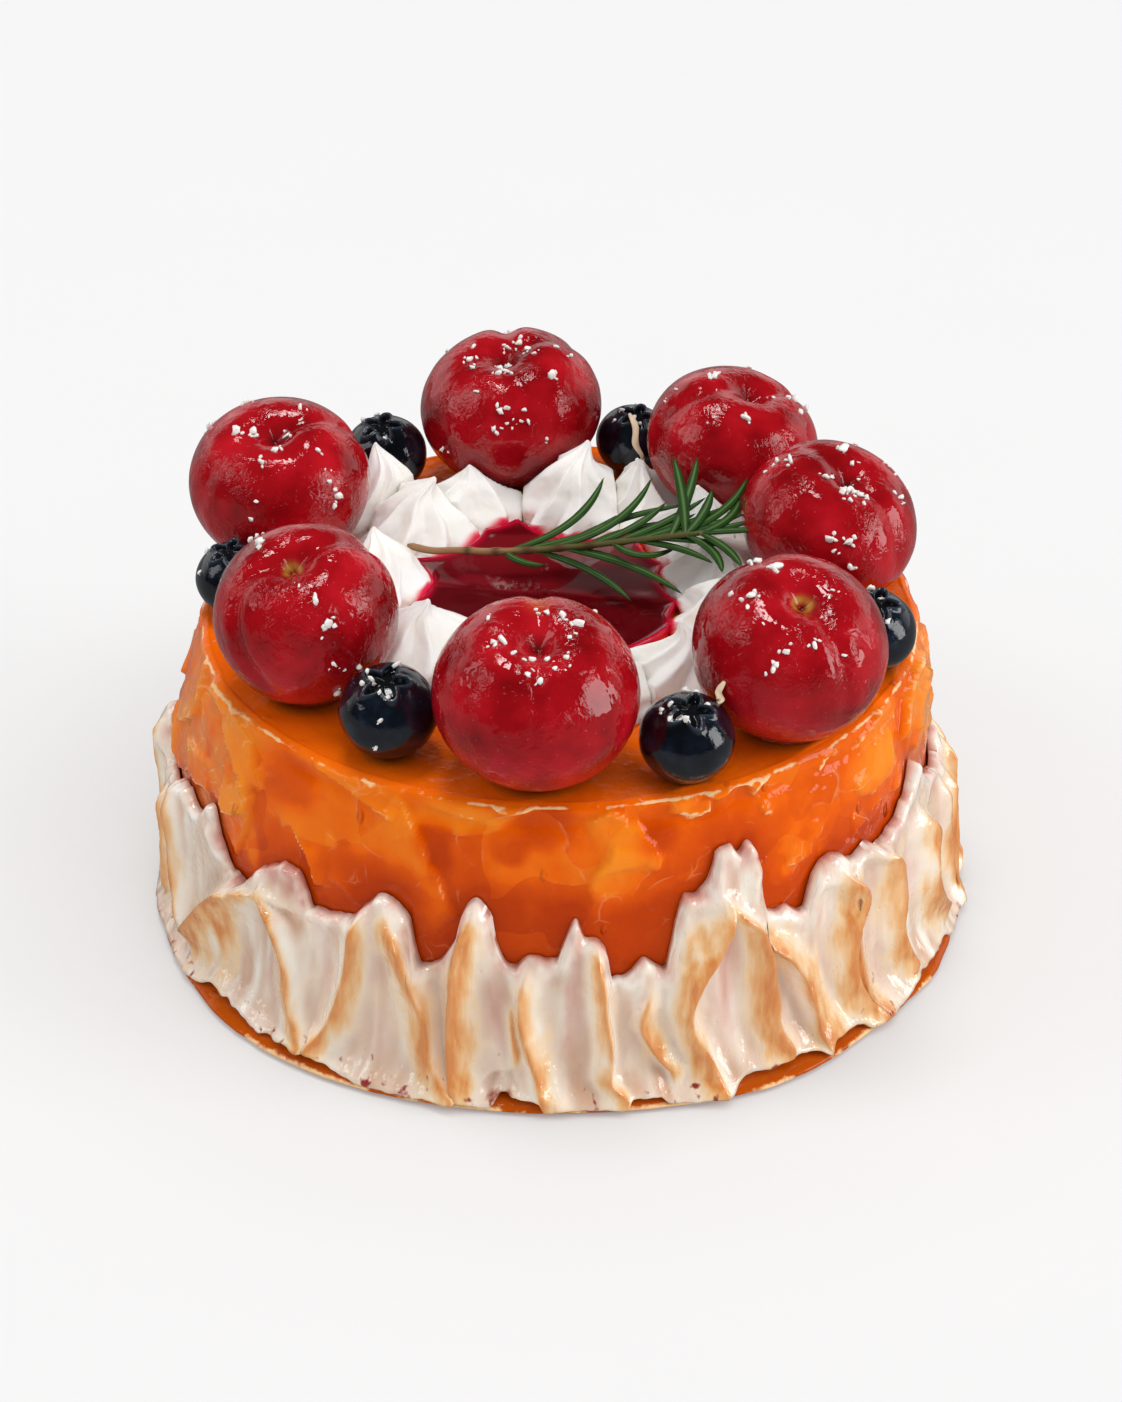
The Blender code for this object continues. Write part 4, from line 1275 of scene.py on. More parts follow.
# Folds read from the front: rise, both half widths, and the line as (angle, height).
FRONT_CRESTS = (
    Crest(2.0, 5.0, 4.0, ((-164, 24), (-163, 14), (-160, 5))),
    Crest(2.6, 2.6, 9.0, ((-137, 22), (-140, 21.3), (-144, 19), (-148, 15), (-155.5, 5.5))),
    Crest(2.2, 5.0, 3.0, ((-137, 22), (-133, 19), (-131, 14), (-130, 8), (-127, 3))),
    Crest(2.0, 3.6, 4.0, ((-118.5, 25.5), (-119.5, 18), (-122, 8), (-125, 3))),
    Crest(2.3, 4.0, 2.6, ((-115, 26), (-113, 22), (-111, 18), (-109.5, 10), (-107, 4), (-105, 2))),
    Crest(2.1, 2.6, 3.0, ((-102, 29), (-103.5, 22), (-104, 15), (-104, 8), (-103.5, 3))),
    Crest(0.9, 1.6, 1.6, ((-96.5, 15), (-95.5, 8))),
    Crest(2.2, 2.6, 3.2, ((-94.5, 20), (-94.5, 15), (-93.5, 10), (-91, 1))),
    Crest(2.1, 2.6, 2.0, ((-84.5, 24), (-84.5, 18), (-83.5, 10), (-84, 5), (-82, 2.5))),
    Crest(1.5, 2.0, 3.6, ((-77, 17), (-78, 13), (-76, 8), (-74, 5))),
    Crest(2.5, 3.6, 3.0, ((-66, 28.5), (-69, 24), (-71.5, 19), (-73, 14), (-71, 7), (-69, 1.5))),
    Crest(2.3, 3.0, 2.6, ((-65, 28), (-62, 24), (-61, 18), (-61, 11), (-58, 4))),
    Crest(2.3, 2.4, 3.6, ((-60, 22), (-56, 18), (-53.5, 13), (-52, 8), (-51, 3))),
    Crest(2.0, 3.0, 2.4, ((-45.5, 26), (-43.5, 22), (-46, 17), (-46, 12), (-44, 6), (-41, 2))),
    Crest(1.6, 1.8, 2.2, ((-42.5, 24), (-43, 17), (-42.5, 10), (-41, 5), (-39, 2))),
    Crest(2.0, 3.2, 2.4, ((-38, 27), (-35, 23), (-34.5, 15), (-33.5, 8), (-32, 4.5))),
    Crest(2.2, 4.6, 4.0, ((-24, 24), (-22, 20), (-23, 14), (-20, 8), (-17, 5))),
    Crest(1.8, 3.2, 3.2, ((-12, 23), (-11, 14), (-9, 4))),
)
# The torn top edge at the front, as (angle, height).
FRONT_TOP = (
    (-168, 24), (-163, 26), (-157, 25), (-153, 28), (-150, 24), (-147, 21), (-143.5, 20.5), (-141, 22.5),
    (-138.5, 25.5), (-136, 27), (-134, 28), (-131.5, 27.6), (-129.5, 25), (-128.5, 23), (-124, 24),
    (-121, 24.5), (-119, 26.5), (-117, 29), (-114, 28.5), (-111.8, 26.5), (-111.3, 23), (-110.5, 19.5),
    (-107, 21.5), (-104.6, 25.5), (-103.7, 29.5), (-101.7, 31), (-99.8, 29.5), (-99, 25), (-97, 21.5),
    (-94, 23), (-90.5, 22.5), (-89.5, 25), (-87.5, 28.5), (-86.3, 25.8), (-84.5, 25.6), (-83.3, 24),
    (-82.5, 19.2), (-80.5, 19.5), (-78, 21.5), (-75, 20), (-73.8, 24), (-73, 28), (-71.7, 31.4), (-70, 31),
    (-68.5, 32.2), (-67.3, 34.5), (-66.8, 36.4), (-64.5, 36.8), (-63.3, 35.6), (-62, 36.6), (-60.8, 36),
    (-60, 33), (-59.3, 27.5), (-58.5, 25), (-55, 24.5), (-52, 23.5), (-51, 26), (-50, 28), (-48, 29.5),
    (-44, 28), (-41, 27), (-38.5, 28), (-36, 26), (-32, 26.5), (-27, 28.5), (-25, 30), (-23, 33), (-20.5, 31),
    (-18, 28), (-14, 26.5), (-9, 24),
)  # fmt: skip
# Browned places off the crests: (angle, height, half width, half height, amount).
TORCHED = (
    (-151, 8, 3.0, 9, 0.7),
    (-145, 8, 2.0, 8.5, 0.55),
    (-156, 14, 1.6, 5, 0.4),
    (-144, 15, 2.4, 5, 0.35),
    (-124, 8, 2.6, 8, 0.5),
    (-119, 20, 1.6, 6, 0.4),
    (-108, 9, 2.0, 8, 0.5),
    (-104, 17, 1.4, 11, 0.5),
    (-95.5, 11, 1.0, 4, 0.5),
    (-91.5, 8, 1.4, 7, 0.45),
    (-82, 10, 1.6, 7, 0.45),
    (-79, 7, 1.6, 3, 0.4),
    (-71, 12, 2.0, 10, 0.45),
    (-60, 12, 1.6, 10, 0.6),
    (-18, 15, 3.5, 10, 0.5),
    (-9, 14, 2.5, 9, 0.5),
    (-165, 14, 3.0, 10, 0.4),
    (-57, 19, 2.2, 5, 0.7),
    (-52.5, 9, 1.6, 7, 0.6),
    (-45, 14, 1.2, 10, 0.4),
    (-41.5, 11, 1.4, 9, 0.5),
    (-34, 12, 1.4, 9, 0.5),
    (-27, 22, 3.0, 3, 0.4),
    (-21, 14, 3.4, 11, 0.6),
    (-15, 8, 3.0, 6, 0.5),
    (-164, 12, 2.5, 8, 0.4),
)
# Where the thin meringue lets the red and orange below it show.
BLUSHES = (
    (-134, 13, 1.8, 9, 0.75),
    (-134, 26, 4.5, 2.6, 0.7),
    (-125, 17, 1.8, 6, 0.45),
    (-116, 15, 1.8, 9, 0.6),
    (-99, 12, 1.8, 9, 0.7),
    (-88, 17, 1.5, 10, 0.75),
    (-78, 14, 1.2, 5, 0.6),
    (-66.5, 18, 2.2, 11, 0.85),
    (-64, 35, 3.0, 2.0, 0.6),
    (-70, 31, 1.6, 1.5, 0.6),
    (-49, 16, 2.0, 9, 0.4),
    (-39, 14, 1.6, 10, 0.85),
    (-36.5, 19, 1.2, 6, 0.5),
    (-29, 17, 3.0, 5, 0.6),
    (-28, 25, 4.0, 2, 0.4),
    (-168, 14, 3.0, 9, 0.6),
    (-154, 4, 2.5, 2.5, 0.5),
    (-12, 20, 4.0, 5, 0.35),
)
# Hollows in the meringue: (angle, height, half width, half height, depth).
POCKETS = ((-31, 16.5, 1.2, 2.8, 1.6), (-98, 3.6, 2.0, 1.4, 1.2))
# The glaze that shows in them.
BARE_SPOTS = ((-31, 16.5, 0.9, 2.4, 1.0), (-98, 2.8, 1.4, 0.6, 0.9))
# Where the meringue stops short and the foot of the glaze shows: (angle, 0, half width, 1, amount).
FOOT_SHOWS = (
    (-135, 0, 14, 1, 1.0),
    (-95, 0, 3.5, 1, 1.0),
    (-78.5, 0, 2.5, 1, 0.8),
    (-59, 0, 7, 1, 1.0),
    (-47, 0, 3.5, 1, 1.0),
    (-26, 0, 7, 1, 1.0),
)
# Thickness of the skirt at each share of its height.
SKIRT_BELLY = ((0.0, 4.6), (0.06, 3.9), (0.2, 2.1), (0.5, 1.5), (0.75, 1.3), (1.0, 1.0))
# Lowest that the skirt may reach over the foot of the glaze, as (radius, height).
FOOT_TOP = ((54.0, 3.2), (55.4, 2.45), (58.0, 1.65), (59.7, 1.05), (60.3, 0.2))


@dataclass
class MeringueSkirt:
    """The ring of knife-drawn meringue round the lower wall, torn at its top."""

    columns: int = 1200
    outer_rows: int = 68
    valley: float = 20.0  # height of the torn edge between the tongues at the back
    lip: float = 1.5  # how far the lower edge lifts where the foot shows
    inner_foot: float = 3.6
    back_start: float = -6.0
    back_end: float = 188.0
    back_step: float = 8.6  # mean way between the tongues at the back, in degrees
    back_seed: int = 7
    roundness: float = 0.36  # degrees over which a crest is rounded
    tilt: float = 1.5  # degrees that a crest leans at most
    off_wall: float = GAP + 0.05

    def back_strokes(self) -> tuple[list[tuple], list[Crest]]:
        """Tongues and crests round the back, drawn with the same seed as the solid's."""
        draw = random.Random(self.back_seed)
        tongues, crests = [], []
        angle = self.back_start
        while angle < self.back_end:
            peak, lean = draw.uniform(22.0, 28.5), draw.uniform(-4.0, 4.0)
            tongues.append((angle, peak, draw.uniform(3.2, 4.8)))
            foot = draw.uniform(2.0, 5.0)
            head = peak - 3.0
            line = ((angle, head), (angle + lean * 0.6, (head + foot) / 2.0), (angle + lean, foot))
            crests.append(Crest(2.1, 3.6 + 0.2 * lean, 3.6 - 0.2 * lean, line))
            angle += self.back_step * draw.uniform(0.85, 1.15)
        return tongues, crests

    def top_edge(self, angle: Array, tongues: list[tuple]) -> Array:
        """Height of the torn top edge.

        The back is the valley level with a tongue exp(-|off / half width|^3) at each place. The
        front is the line read from the cake. Small noise tears both.

        Args:
            angle: directions in degrees.
            tongues: (angle, top height, half width in degrees) of each tongue at the back.

        Returns:
            The heights in millimetres.
        """
        back = np.full(angle.shape, self.valley)
        for centre, peak, half_width in tongues:
            tongue = np.exp(-(np.abs(apart(angle, centre) / half_width) ** 3))
            back = np.maximum(back, self.valley + (peak - self.valley) * tongue)
        front = flowing(angle, FRONT_TOP)
        share = eased((angle + 171.0) / 4.0) * eased((-6.0 - angle) / 4.0)
        plain = around(WALL_MIDDLE, angle, 0.0)
        torn = 0.42 * noise(plain, 1.9, 61) + 0.24 * noise(plain, 0.95, 67)
        return back * (1.0 - share) + front * share + torn

    def folds(self, angle: Array, height: Array, crests: list[Crest]) -> tuple[Array, ...]:
        """Folds of the meringue.

        At each height a crest stands at its line's angle and sways about it. Its rise falls off
        on both sides as (1 - distance / half width)^2, rounded a little at the very top, and the
        highest fold wins. The fold also leans towards its steeper side.

        Args:
            angle: direction in degrees, (1, columns).
            height: height in millimetres, (rows, columns).
            crests: the folds.

        Returns:
            The rise in millimetres, the turn of the lean in degrees, how near the torched flank
            of a crest is, and how near its sharp line is.
        """
        rise, lean, flank, sharp = (np.zeros(height.shape) for _ in range(4))
        for crest in crests:
            line = np.array(crest.line[::-1], float)
            near = np.abs(apart(angle[0], line[:, 0].mean())) < np.ptp(line[:, 0]) / 2.0 + 11.0
            level = height[:, near]
            at = flowing(level, tuple((z, a) for a, z in line))
            nowhere = np.zeros(level.shape)
            sway = noise(np.stack([level, nowhere + line[0, 0], nowhere], -1), 6.0, 59)
            off = apart(angle[:, near], at + 0.4 * sway)
            soft = np.sqrt(off**2 + self.roundness**2) - self.roundness
            fall = np.clip(1.0 - soft / (1.3 * np.where(off < 0.0, crest.left, crest.right)), 0.0, 1.0) ** 2
            along = eased((line[-1, 1] + 3.0 - level) / 5.5) * eased((level - line[0, 1] + 3.5) / 4.5)
            here = crest.rise * along * fall
            tilt = np.sign(crest.left - crest.right) * self.tilt * fall**2 * along * (0.6 + 0.5 * sway)
            lean[:, near] = np.where(here > rise[:, near], tilt, lean[:, near])
            gentle = (off < 0.0) == (crest.left > crest.right)
            wide = np.where(gentle, 0.45 * max(crest.left, crest.right), 0.8) * (1.0 + 0.5 * sway)
            browned, ridge = np.exp(-np.abs(off) / wide) * along, bell(off, 0.34) * along
            for whole, part in ((rise, here), (flank, browned), (sharp, ridge)):
                whole[:, near] = np.maximum(whole[:, near], part)
        return rise, lean, flank, sharp

    def foot_line(self, angle: Array) -> Array:
        """Height of the meringue's lower edge: ragged, and raised where the glaze's foot shows.

        Args:
            angle: direction in degrees, (1, columns).

        Returns:
            The heights in millimetres.
        """
        plain = around(57.0, angle, 0.0)
        front = np.clip(spots(angle, 0.0 * angle, FOOT_SHOWS, 0.5), 0.0, 1.0)
        at_back = np.abs(apart(angle, -90.0)) > 82.0
        shown = front + at_back * eased(0.3 + 1.5 * layered(plain, 14.0, 69))
        curly = 0.3 * (0.6 + layered(plain, 2.2, 75))
        return 0.35 + curly + np.clip(shown, 0.0, 1.0) * (self.lip + 0.8 * layered(plain, 4.0, 71))

    def below(self, angle: Array, lip: Array, reach: Array) -> Array:
        """The underside, from the lower edge back to the wall, just over the glaze's foot.

        Args:
            angle: direction in degrees, (1, columns).
            lip: height of the lower edge.
            reach: its radius.

        Returns:
            Three rings of points, (3, columns, 3).
        """
        inside = wall_radius(angle, self.inner_foot) + self.off_wall
        step = np.array([0.75, 0.45, 0.2])[:, None]
        span = inside + (reach - inside) * step
        foot_top = flowing(span - foot_swell(angle), FOOT_TOP)
        return around(span, angle, np.maximum(lip - 0.1 + (self.inner_foot - lip) * (1.0 - step), foot_top))

    def surface(self, top: Array, crests: list[Crest]) -> Surface:
        """The skirt as a closed ring.

        Its inner side follows the wall with a small gap. Its outer side adds the belly, the
        folds and fine drag marks, and is rounded off towards the torn edge.

        Args:
            top: height of the torn edge at each column, (1, columns).
            crests: the folds.

        Returns:
            The closed surface with the marks that colours gives; they are nought on the inner
            side and underneath.
        """
        angle = circle(self.columns)
        lip = self.foot_line(angle)
        share = np.linspace(0.0, 1.0, self.outer_rows)[::-1, None]
        height = lip + share * (top - lip)
        plain = around(56.0, angle, height)
        rise, lean, flank, sharp = self.folds(angle, height, crests)
        dragged = plain * (1.0, 1.0, 0.2) + 0.8 * lean[..., None]
        small = np.clip(1.0 - np.abs(noise(dragged, 3.4, 77)), 0.0, 1.0) ** 5
        small = small * eased(0.6 + layered(plain, 6.0, 81)) * eased((top - height) / 4.0)
        rise = 1.5 * rise + 0.35 * small * (1.0 - np.clip(rise / 2.0, 0.0, 1.0))
        torn = from_line(height, top, False)
        lumps = 0.4 * layered(plain * (1.0, 1.0, 0.4), 3.2, 83) + 0.05 * noise(plain, 0.9, 73)
        blobs = np.exp(-torn / 1.8) * (1.0 + noise(plain, 2.0, 87))
        body = flowing(share, SKIRT_BELLY) + lumps + blobs
        bent = angle + 1.3 * layered(plain, 3.0, 111), height + 1.2 * layered(plain, 3.0, 113)
        round_off = np.sqrt(1.0 - (1.0 - np.clip(torn / 1.5, 0.0, 1.0)) ** 2)
        spread = (1.0 - eased((height - 0.4) / 3.4)) * (0.9 + foot_swell(angle))
        thick = body + rise * (1.0 - 0.6 * (1.0 - share) ** 6) - spots(*bent, POCKETS, 0.8)
        out = thick * round_off + spread
        under = 1.0 - 0.5 * (1.0 - np.clip((height - lip) / 0.7, 0.0, 1.0)) ** 2
        proud = np.maximum(out, 0.25 * round_off) * under
        outer = around(wall_radius(angle, height) + self.off_wall + proud, angle + lean, height)
        inner_share = np.linspace(0.0, 1.0, 6)[:, None]
        inner_height = self.inner_foot + inner_share * (top - 0.05 - self.inner_foot)
        inner = around(wall_radius(angle, inner_height) + self.off_wall, angle, inner_height)
        reach = wall_radius(angle, lip) + self.off_wall + out[-1] * under[-1]
        below = self.below(angle, lip, reach)
        shape = {"rise": rise, "lean": lean, "flank": flank, "sharp": sharp, "small": small}
        marks = self.colours(angle, plain, lip, bent, shape | {"torn": torn, "out": out})
        rings = ((len(inner), len(below)), (0, 0))
        full = {name: np.pad(np.clip(values, 0.0, 1.0), rings) for name, values in marks.items()}
        return ringed(np.concatenate([inner, outer, below]), full)

    def colours(
        self, angle: Array, plain: Array, lip: Array, bent: tuple[Array, Array], shape: dict[str, Array]
    ) -> dict[str, Array]:
        """Where the torch browned the meringue, where the red below it shows through, and where shade is
        painted.

        The toast lies on the flanks of the folds, in the torched places and in streaks, and
        thins out towards the torn edge. The blush lies in its own patches and at the torn tips; at the
        back it also lies in the troughs between the folds, as painted shade. The low ground between the
        folds and the hollows beside them are painted darker too, as shade.

        Args:
            angle: direction in degrees, (1, columns).
            plain: places on the plain wall, (rows, columns, 3).
            lip: height of the lower edge.
            bent: angle and height, bent by noise for the patches.
            shape: rise, lean, flank, sharp, small, torn and out, as in surface and folds.

        Returns:
            The marks toast, blush, bare, fleck, crest, valley and cavity.
        """
        height, rise, torn, out = plain[..., 2], shape["rise"], shape["torn"], shape["out"]
        patchy = layered(plain, 4.0, 91)
        drawn = noise(plain * (1.0, 1.0, 0.2) + 0.5 * shape["lean"][..., None], 1.5, 115)
        at_back = np.abs(apart(angle, 90.0)) < 94.0
        on_folds = 1.15 * shape["flank"] + 0.25 * shape["small"]
        torched = 0.5 * spots(*bent, TORCHED, 1.5)
        toast = on_folds * np.clip(0.95 + 0.5 * patchy + 0.3 * drawn, 0.2, 1.4)
        toast = toast + torched * np.clip(0.7 + 0.75 * drawn + 0.5 * patchy, 0.0, 1.5)
        clouds = eased(1.5 * layered(plain * (1.0, 1.0, 0.35), 4.5, 117) - 0.1)
        toast = (toast + 0.3 * clouds * eased(rise)) * eased(torn / 1.6) + 0.45 * bell(height - lip, 0.55)
        streaks = eased(0.2 + 1.4 * layered(plain * (1.0, 1.0, 0.4), 5.0, 97))
        toast = toast + at_back * 0.35 * streaks * (rise > 0.5)
        tips = np.exp(-torn / 1.1) * eased(1.9 * layered(plain, 1.8, 101) + 0.4)
        upright = plain * (1.0, 1.0, 0.3)
        # painted shade: at the back, the blush is laid in the troughs between the folds
        trough_shade = at_back * 0.55 * eased((0.5 - rise) / 0.5) * eased(0.3 + 1.2 * layered(upright, 6.0, 103))
        ragged = eased(0.5 + 1.1 * layered(upright, 2.2, 107))
        reddened = spots(*bent, BLUSHES, 1.0)
        blush = reddened * (1.0 - 0.8 * shape["flank"]) * (0.45 + 0.8 * ragged) + tips + trough_shade * ragged
        fleck = 0.75 * eased((9.0 - height) / 8.0) + 0.5 * tips
        fleck = fleck + 0.6 * reddened * eased((16.0 - height) / 12.0)
        crest = shape["sharp"] * np.clip(0.75 + 0.8 * noise(plain, 2.2, 119), 0.15, 1.0)
        # painted shade: darker where the fold is low, between the crests
        valley = eased(1.2 - rise / 1.1) * np.clip(0.55 + 0.9 * drawn, 0.0, 1.0)
        # painted shade: how far each place lies below the mean of its neighbours round the wall
        beside = np.mean([np.roll(out, shift, axis=1) for shift in range(-9, 10, 3)], axis=0)
        return {
            "toast": toast,
            "blush": blush,
            "bare": spots(*bent, BARE_SPOTS, 0.6),
            "fleck": fleck,
            "crest": crest * eased(torn / 1.6),
            "valley": valley * eased((torn - 0.5) / 2.5),
            "hollow_shade": (beside - out) / 0.7,
        }


# ---------------------------------------------------------------- the fruit


def leaned(points: Array, lean_x: float, lean_front: float) -> Array:
    """Turns a fruit's upright axis so that its stalk end leans towards +X and the front.

    Args:
        points: (..., 3), about the fruit's centre.
        lean_x: sideways part of the axis for an upright part of 1.
        lean_front: part towards the front.

    Returns:
        The turned points.
    """
    axis = np.array([lean_x, -lean_front, 1.0])
    axis /= np.linalg.norm(axis)
    x, y, z = axis
    skew = np.array([[0.0, 0.0, x], [0.0, 0.0, y], [-x, -y, 0.0]])
    turn = np.eye(3) + skew + skew @ skew / (1.0 + z)
    return points @ turn.T


@dataclass(frozen=True)
class Fruit(ABC):
    """One fruit of the crown, resting on the glazed top."""

    name: str
    x: float
    y: float
    radius: float
    lean_x: float
    lean_front: float
    sugar: tuple = ()  # grains as (degrees from the stalk end, degrees round it, size)

    columns = 112
    rows = 88
    touch = 0.42  # radius of its ring of contact, in radii

    @abstractmethod
    def outline(self, across: Array, turn: Array) -> Array:
        """Points of the skin for a radius of 1.

        Args:
            across: angle from the stalk end in radians.
            turn: angle round it in radians.

        Returns:
            The points, (..., 3).
        """

    @abstractmethod
    def colours(self, across: Array, turn: Array) -> dict[str, Array]:
        """Numbers that the skin's finish reads, at the same angles as in outline."""

    def grid(self) -> tuple[Array, Array]:
        """Angles from the stalk end and round it, closer together at the stalk end."""
        across = np.pi * np.linspace(0.012, 0.985, self.rows)[:, None] ** 1.2
        return across, turns(self.columns)

    def placed(self, points: Array) -> Array:
        """Points of the unit outline, scaled, leaned and set down on the cake's top.

        Args:
            points: (..., 3), for a radius of 1.

        Returns:
            The points in millimetres.
        """
        whole = leaned(self.radius * self.outline(*self.grid()), self.lean_x, self.lean_front)
        shift = np.array([self.x, self.y, TOP + GAP - whole[..., 2].min()])
        return leaned(self.radius * points, self.lean_x, self.lean_front) + shift

    def surface(self) -> Surface:
        """The skin, closed at both ends, with its marks."""
        across, turn = self.grid()
        ends = [self.placed(self.outline(np.array([a]), np.array([0.0])))[0] for a in (0.0, np.pi)]
        return capped(self.placed(self.outline(across, turn)), ends[0], ends[1], self.colours(across, turn))

    def contact(self) -> tuple[float, float, float]:
        """Centre and radius of the ring where glaze climbs the fruit."""
        return self.x, self.y, self.radius * self.touch


@dataclass(frozen=True)
class Furrow:
    """A groove down a cherry from its stalk hollow: angles in degrees, width and depth in radii."""

    turn: float
    depth: float = 0.06
    width: float = 0.11
    bend: float = 0.0  # degrees that it turns for each radian from the stalk end
    stop: float = 1.9
    tint: float = 0.0


@dataclass(frozen=True)
class Cherry(Fruit):
    """A cherry: a hollow for the stalk, furrows from it, and cheeks that bulge between them."""

    flat: float = 0.85
    furrows: tuple[Furrow, ...] = ()
    scarred: bool = False
    seed: int = 0

    def along(self, furrow: Furrow, across: Array, turn: Array) -> Array:
        """How deep in a furrow each place is: a bell across it, faded at its far end.

        Args:
            furrow: the groove.
            across: angle from the stalk end in radians.
            turn: angle round it in radians.

        Returns:
            The depth, 0 to 1.
        """
        off = turn - np.radians(furrow.turn + furrow.bend * across)
        side = np.sin(across) * np.sin(off)
        ahead = eased(np.cos(off) * 4.0 + 0.5)
        return bell(side, furrow.width) * ahead * eased((furrow.stop - across) / 0.9)

    def outline(self, across: Array, turn: Array) -> Array:
        """The unit sphere, flattened, hollowed at the stalk, furrowed and a little uneven.

        The hollow is 0.17 exp(-(a/0.36)^2) + 0.09 exp(-(a/0.13)^2) deep, a in radians. Each
        furrow draws the skin in by its depth, and noise 6 mm wide moves it by 1.2 percent.

        Args:
            across: angle from the stalk end in radians.
            turn: angle round it in radians.

        Returns:
            The points, (..., 3).
        """
        plain = on_ball(across, turn)
        radius = 1.0 + 0.012 * layered(plain * self.radius, 6.0, 200 + self.seed)
        for furrow in self.furrows:
            radius = radius - furrow.depth * self.along(furrow, across, turn)
        hollow = 0.17 * bell(across, 0.36) + 0.09 * bell(across, 0.13)
        plain[..., 2] = self.flat * plain[..., 2] - hollow
        return plain * radius[..., None]

    def colours(self, across: Array, turn: Array) -> dict[str, Array]:
        """The stalk scar's straw ring, a dark centre at the stalk end, and an orange tint along some furrows.

        Args:
            across: angle from the stalk end in radians.
            turn: angle round it in radians.

        Returns:
            The marks scar, pit and tint.
        """
        plain = across + 0.0 * turn
        ring = bell(plain - 0.085, 0.03) * (0.75 + 0.25 * np.cos(3.0 * turn))
        tint = sum(f.tint * self.along(f, across, turn) * eased((across - 0.3) / 0.3) for f in self.furrows)
        # painted shade: without a scar, the wider dark centre stands for the shade in the stalk hollow; with
        # one it is the scar
        pit_and_shade = bell(plain, 0.05 if self.scarred else 0.09)
        return {"scar": ring * self.scarred, "pit_and_shade": pit_and_shade * 0.8, "tint": tint + 0.0 * plain}


@dataclass(frozen=True)
class Blueberry(Fruit):
    """A blueberry with its five-pointed crown upwards."""

    flat: float = 0.9

    columns = 100
    rows = 76

    def rim(self, turn: Array) -> Array:
        """How far from the end the star's rim runs, in degrees."""
        return 24.0 + 8.0 * np.cos(5.0 * turn)

    def outline(self, across: Array, turn: Array) -> Array:
        """A flattened sphere whose crown is a raised star rim round a dish.

        The rim runs at 24 + 8 cos 5t degrees from the end. It stands 0.035 proud, and 0.1 at
        the star's points, and the dish inside it lies 0.13 deep.

        Args:
            across: angle from the crown's end in radians.
            turn: angle round it in radians.

        Returns:
            The points, (..., 3).
        """
        inside = self.rim(turn) - np.degrees(across)
        points = 0.5 + 0.5 * np.cos(5.0 * turn)
        raised = (0.035 + 0.065 * points) * bell(inside, 4.5)
        dish = 0.13 * eased(inside / 9.0)
        plain = on_ball(across, turn, self.flat)
        swell = 1.0 + 0.012 * noise(plain * self.radius, 3.0, 230 + round(self.x))
        plain[..., 2] += raised - dish
        return plain * swell[..., None]

    def colours(self, across: Array, turn: Array) -> dict[str, Array]:
        """The crown's greyer rim and the dark dish."""
        inside = self.rim(turn) - np.degrees(across)
        return {"calyx": 0.8 * bell(inside, 3.0), "dish": 0.9 * eased((inside - 4.0) / 5.0)}


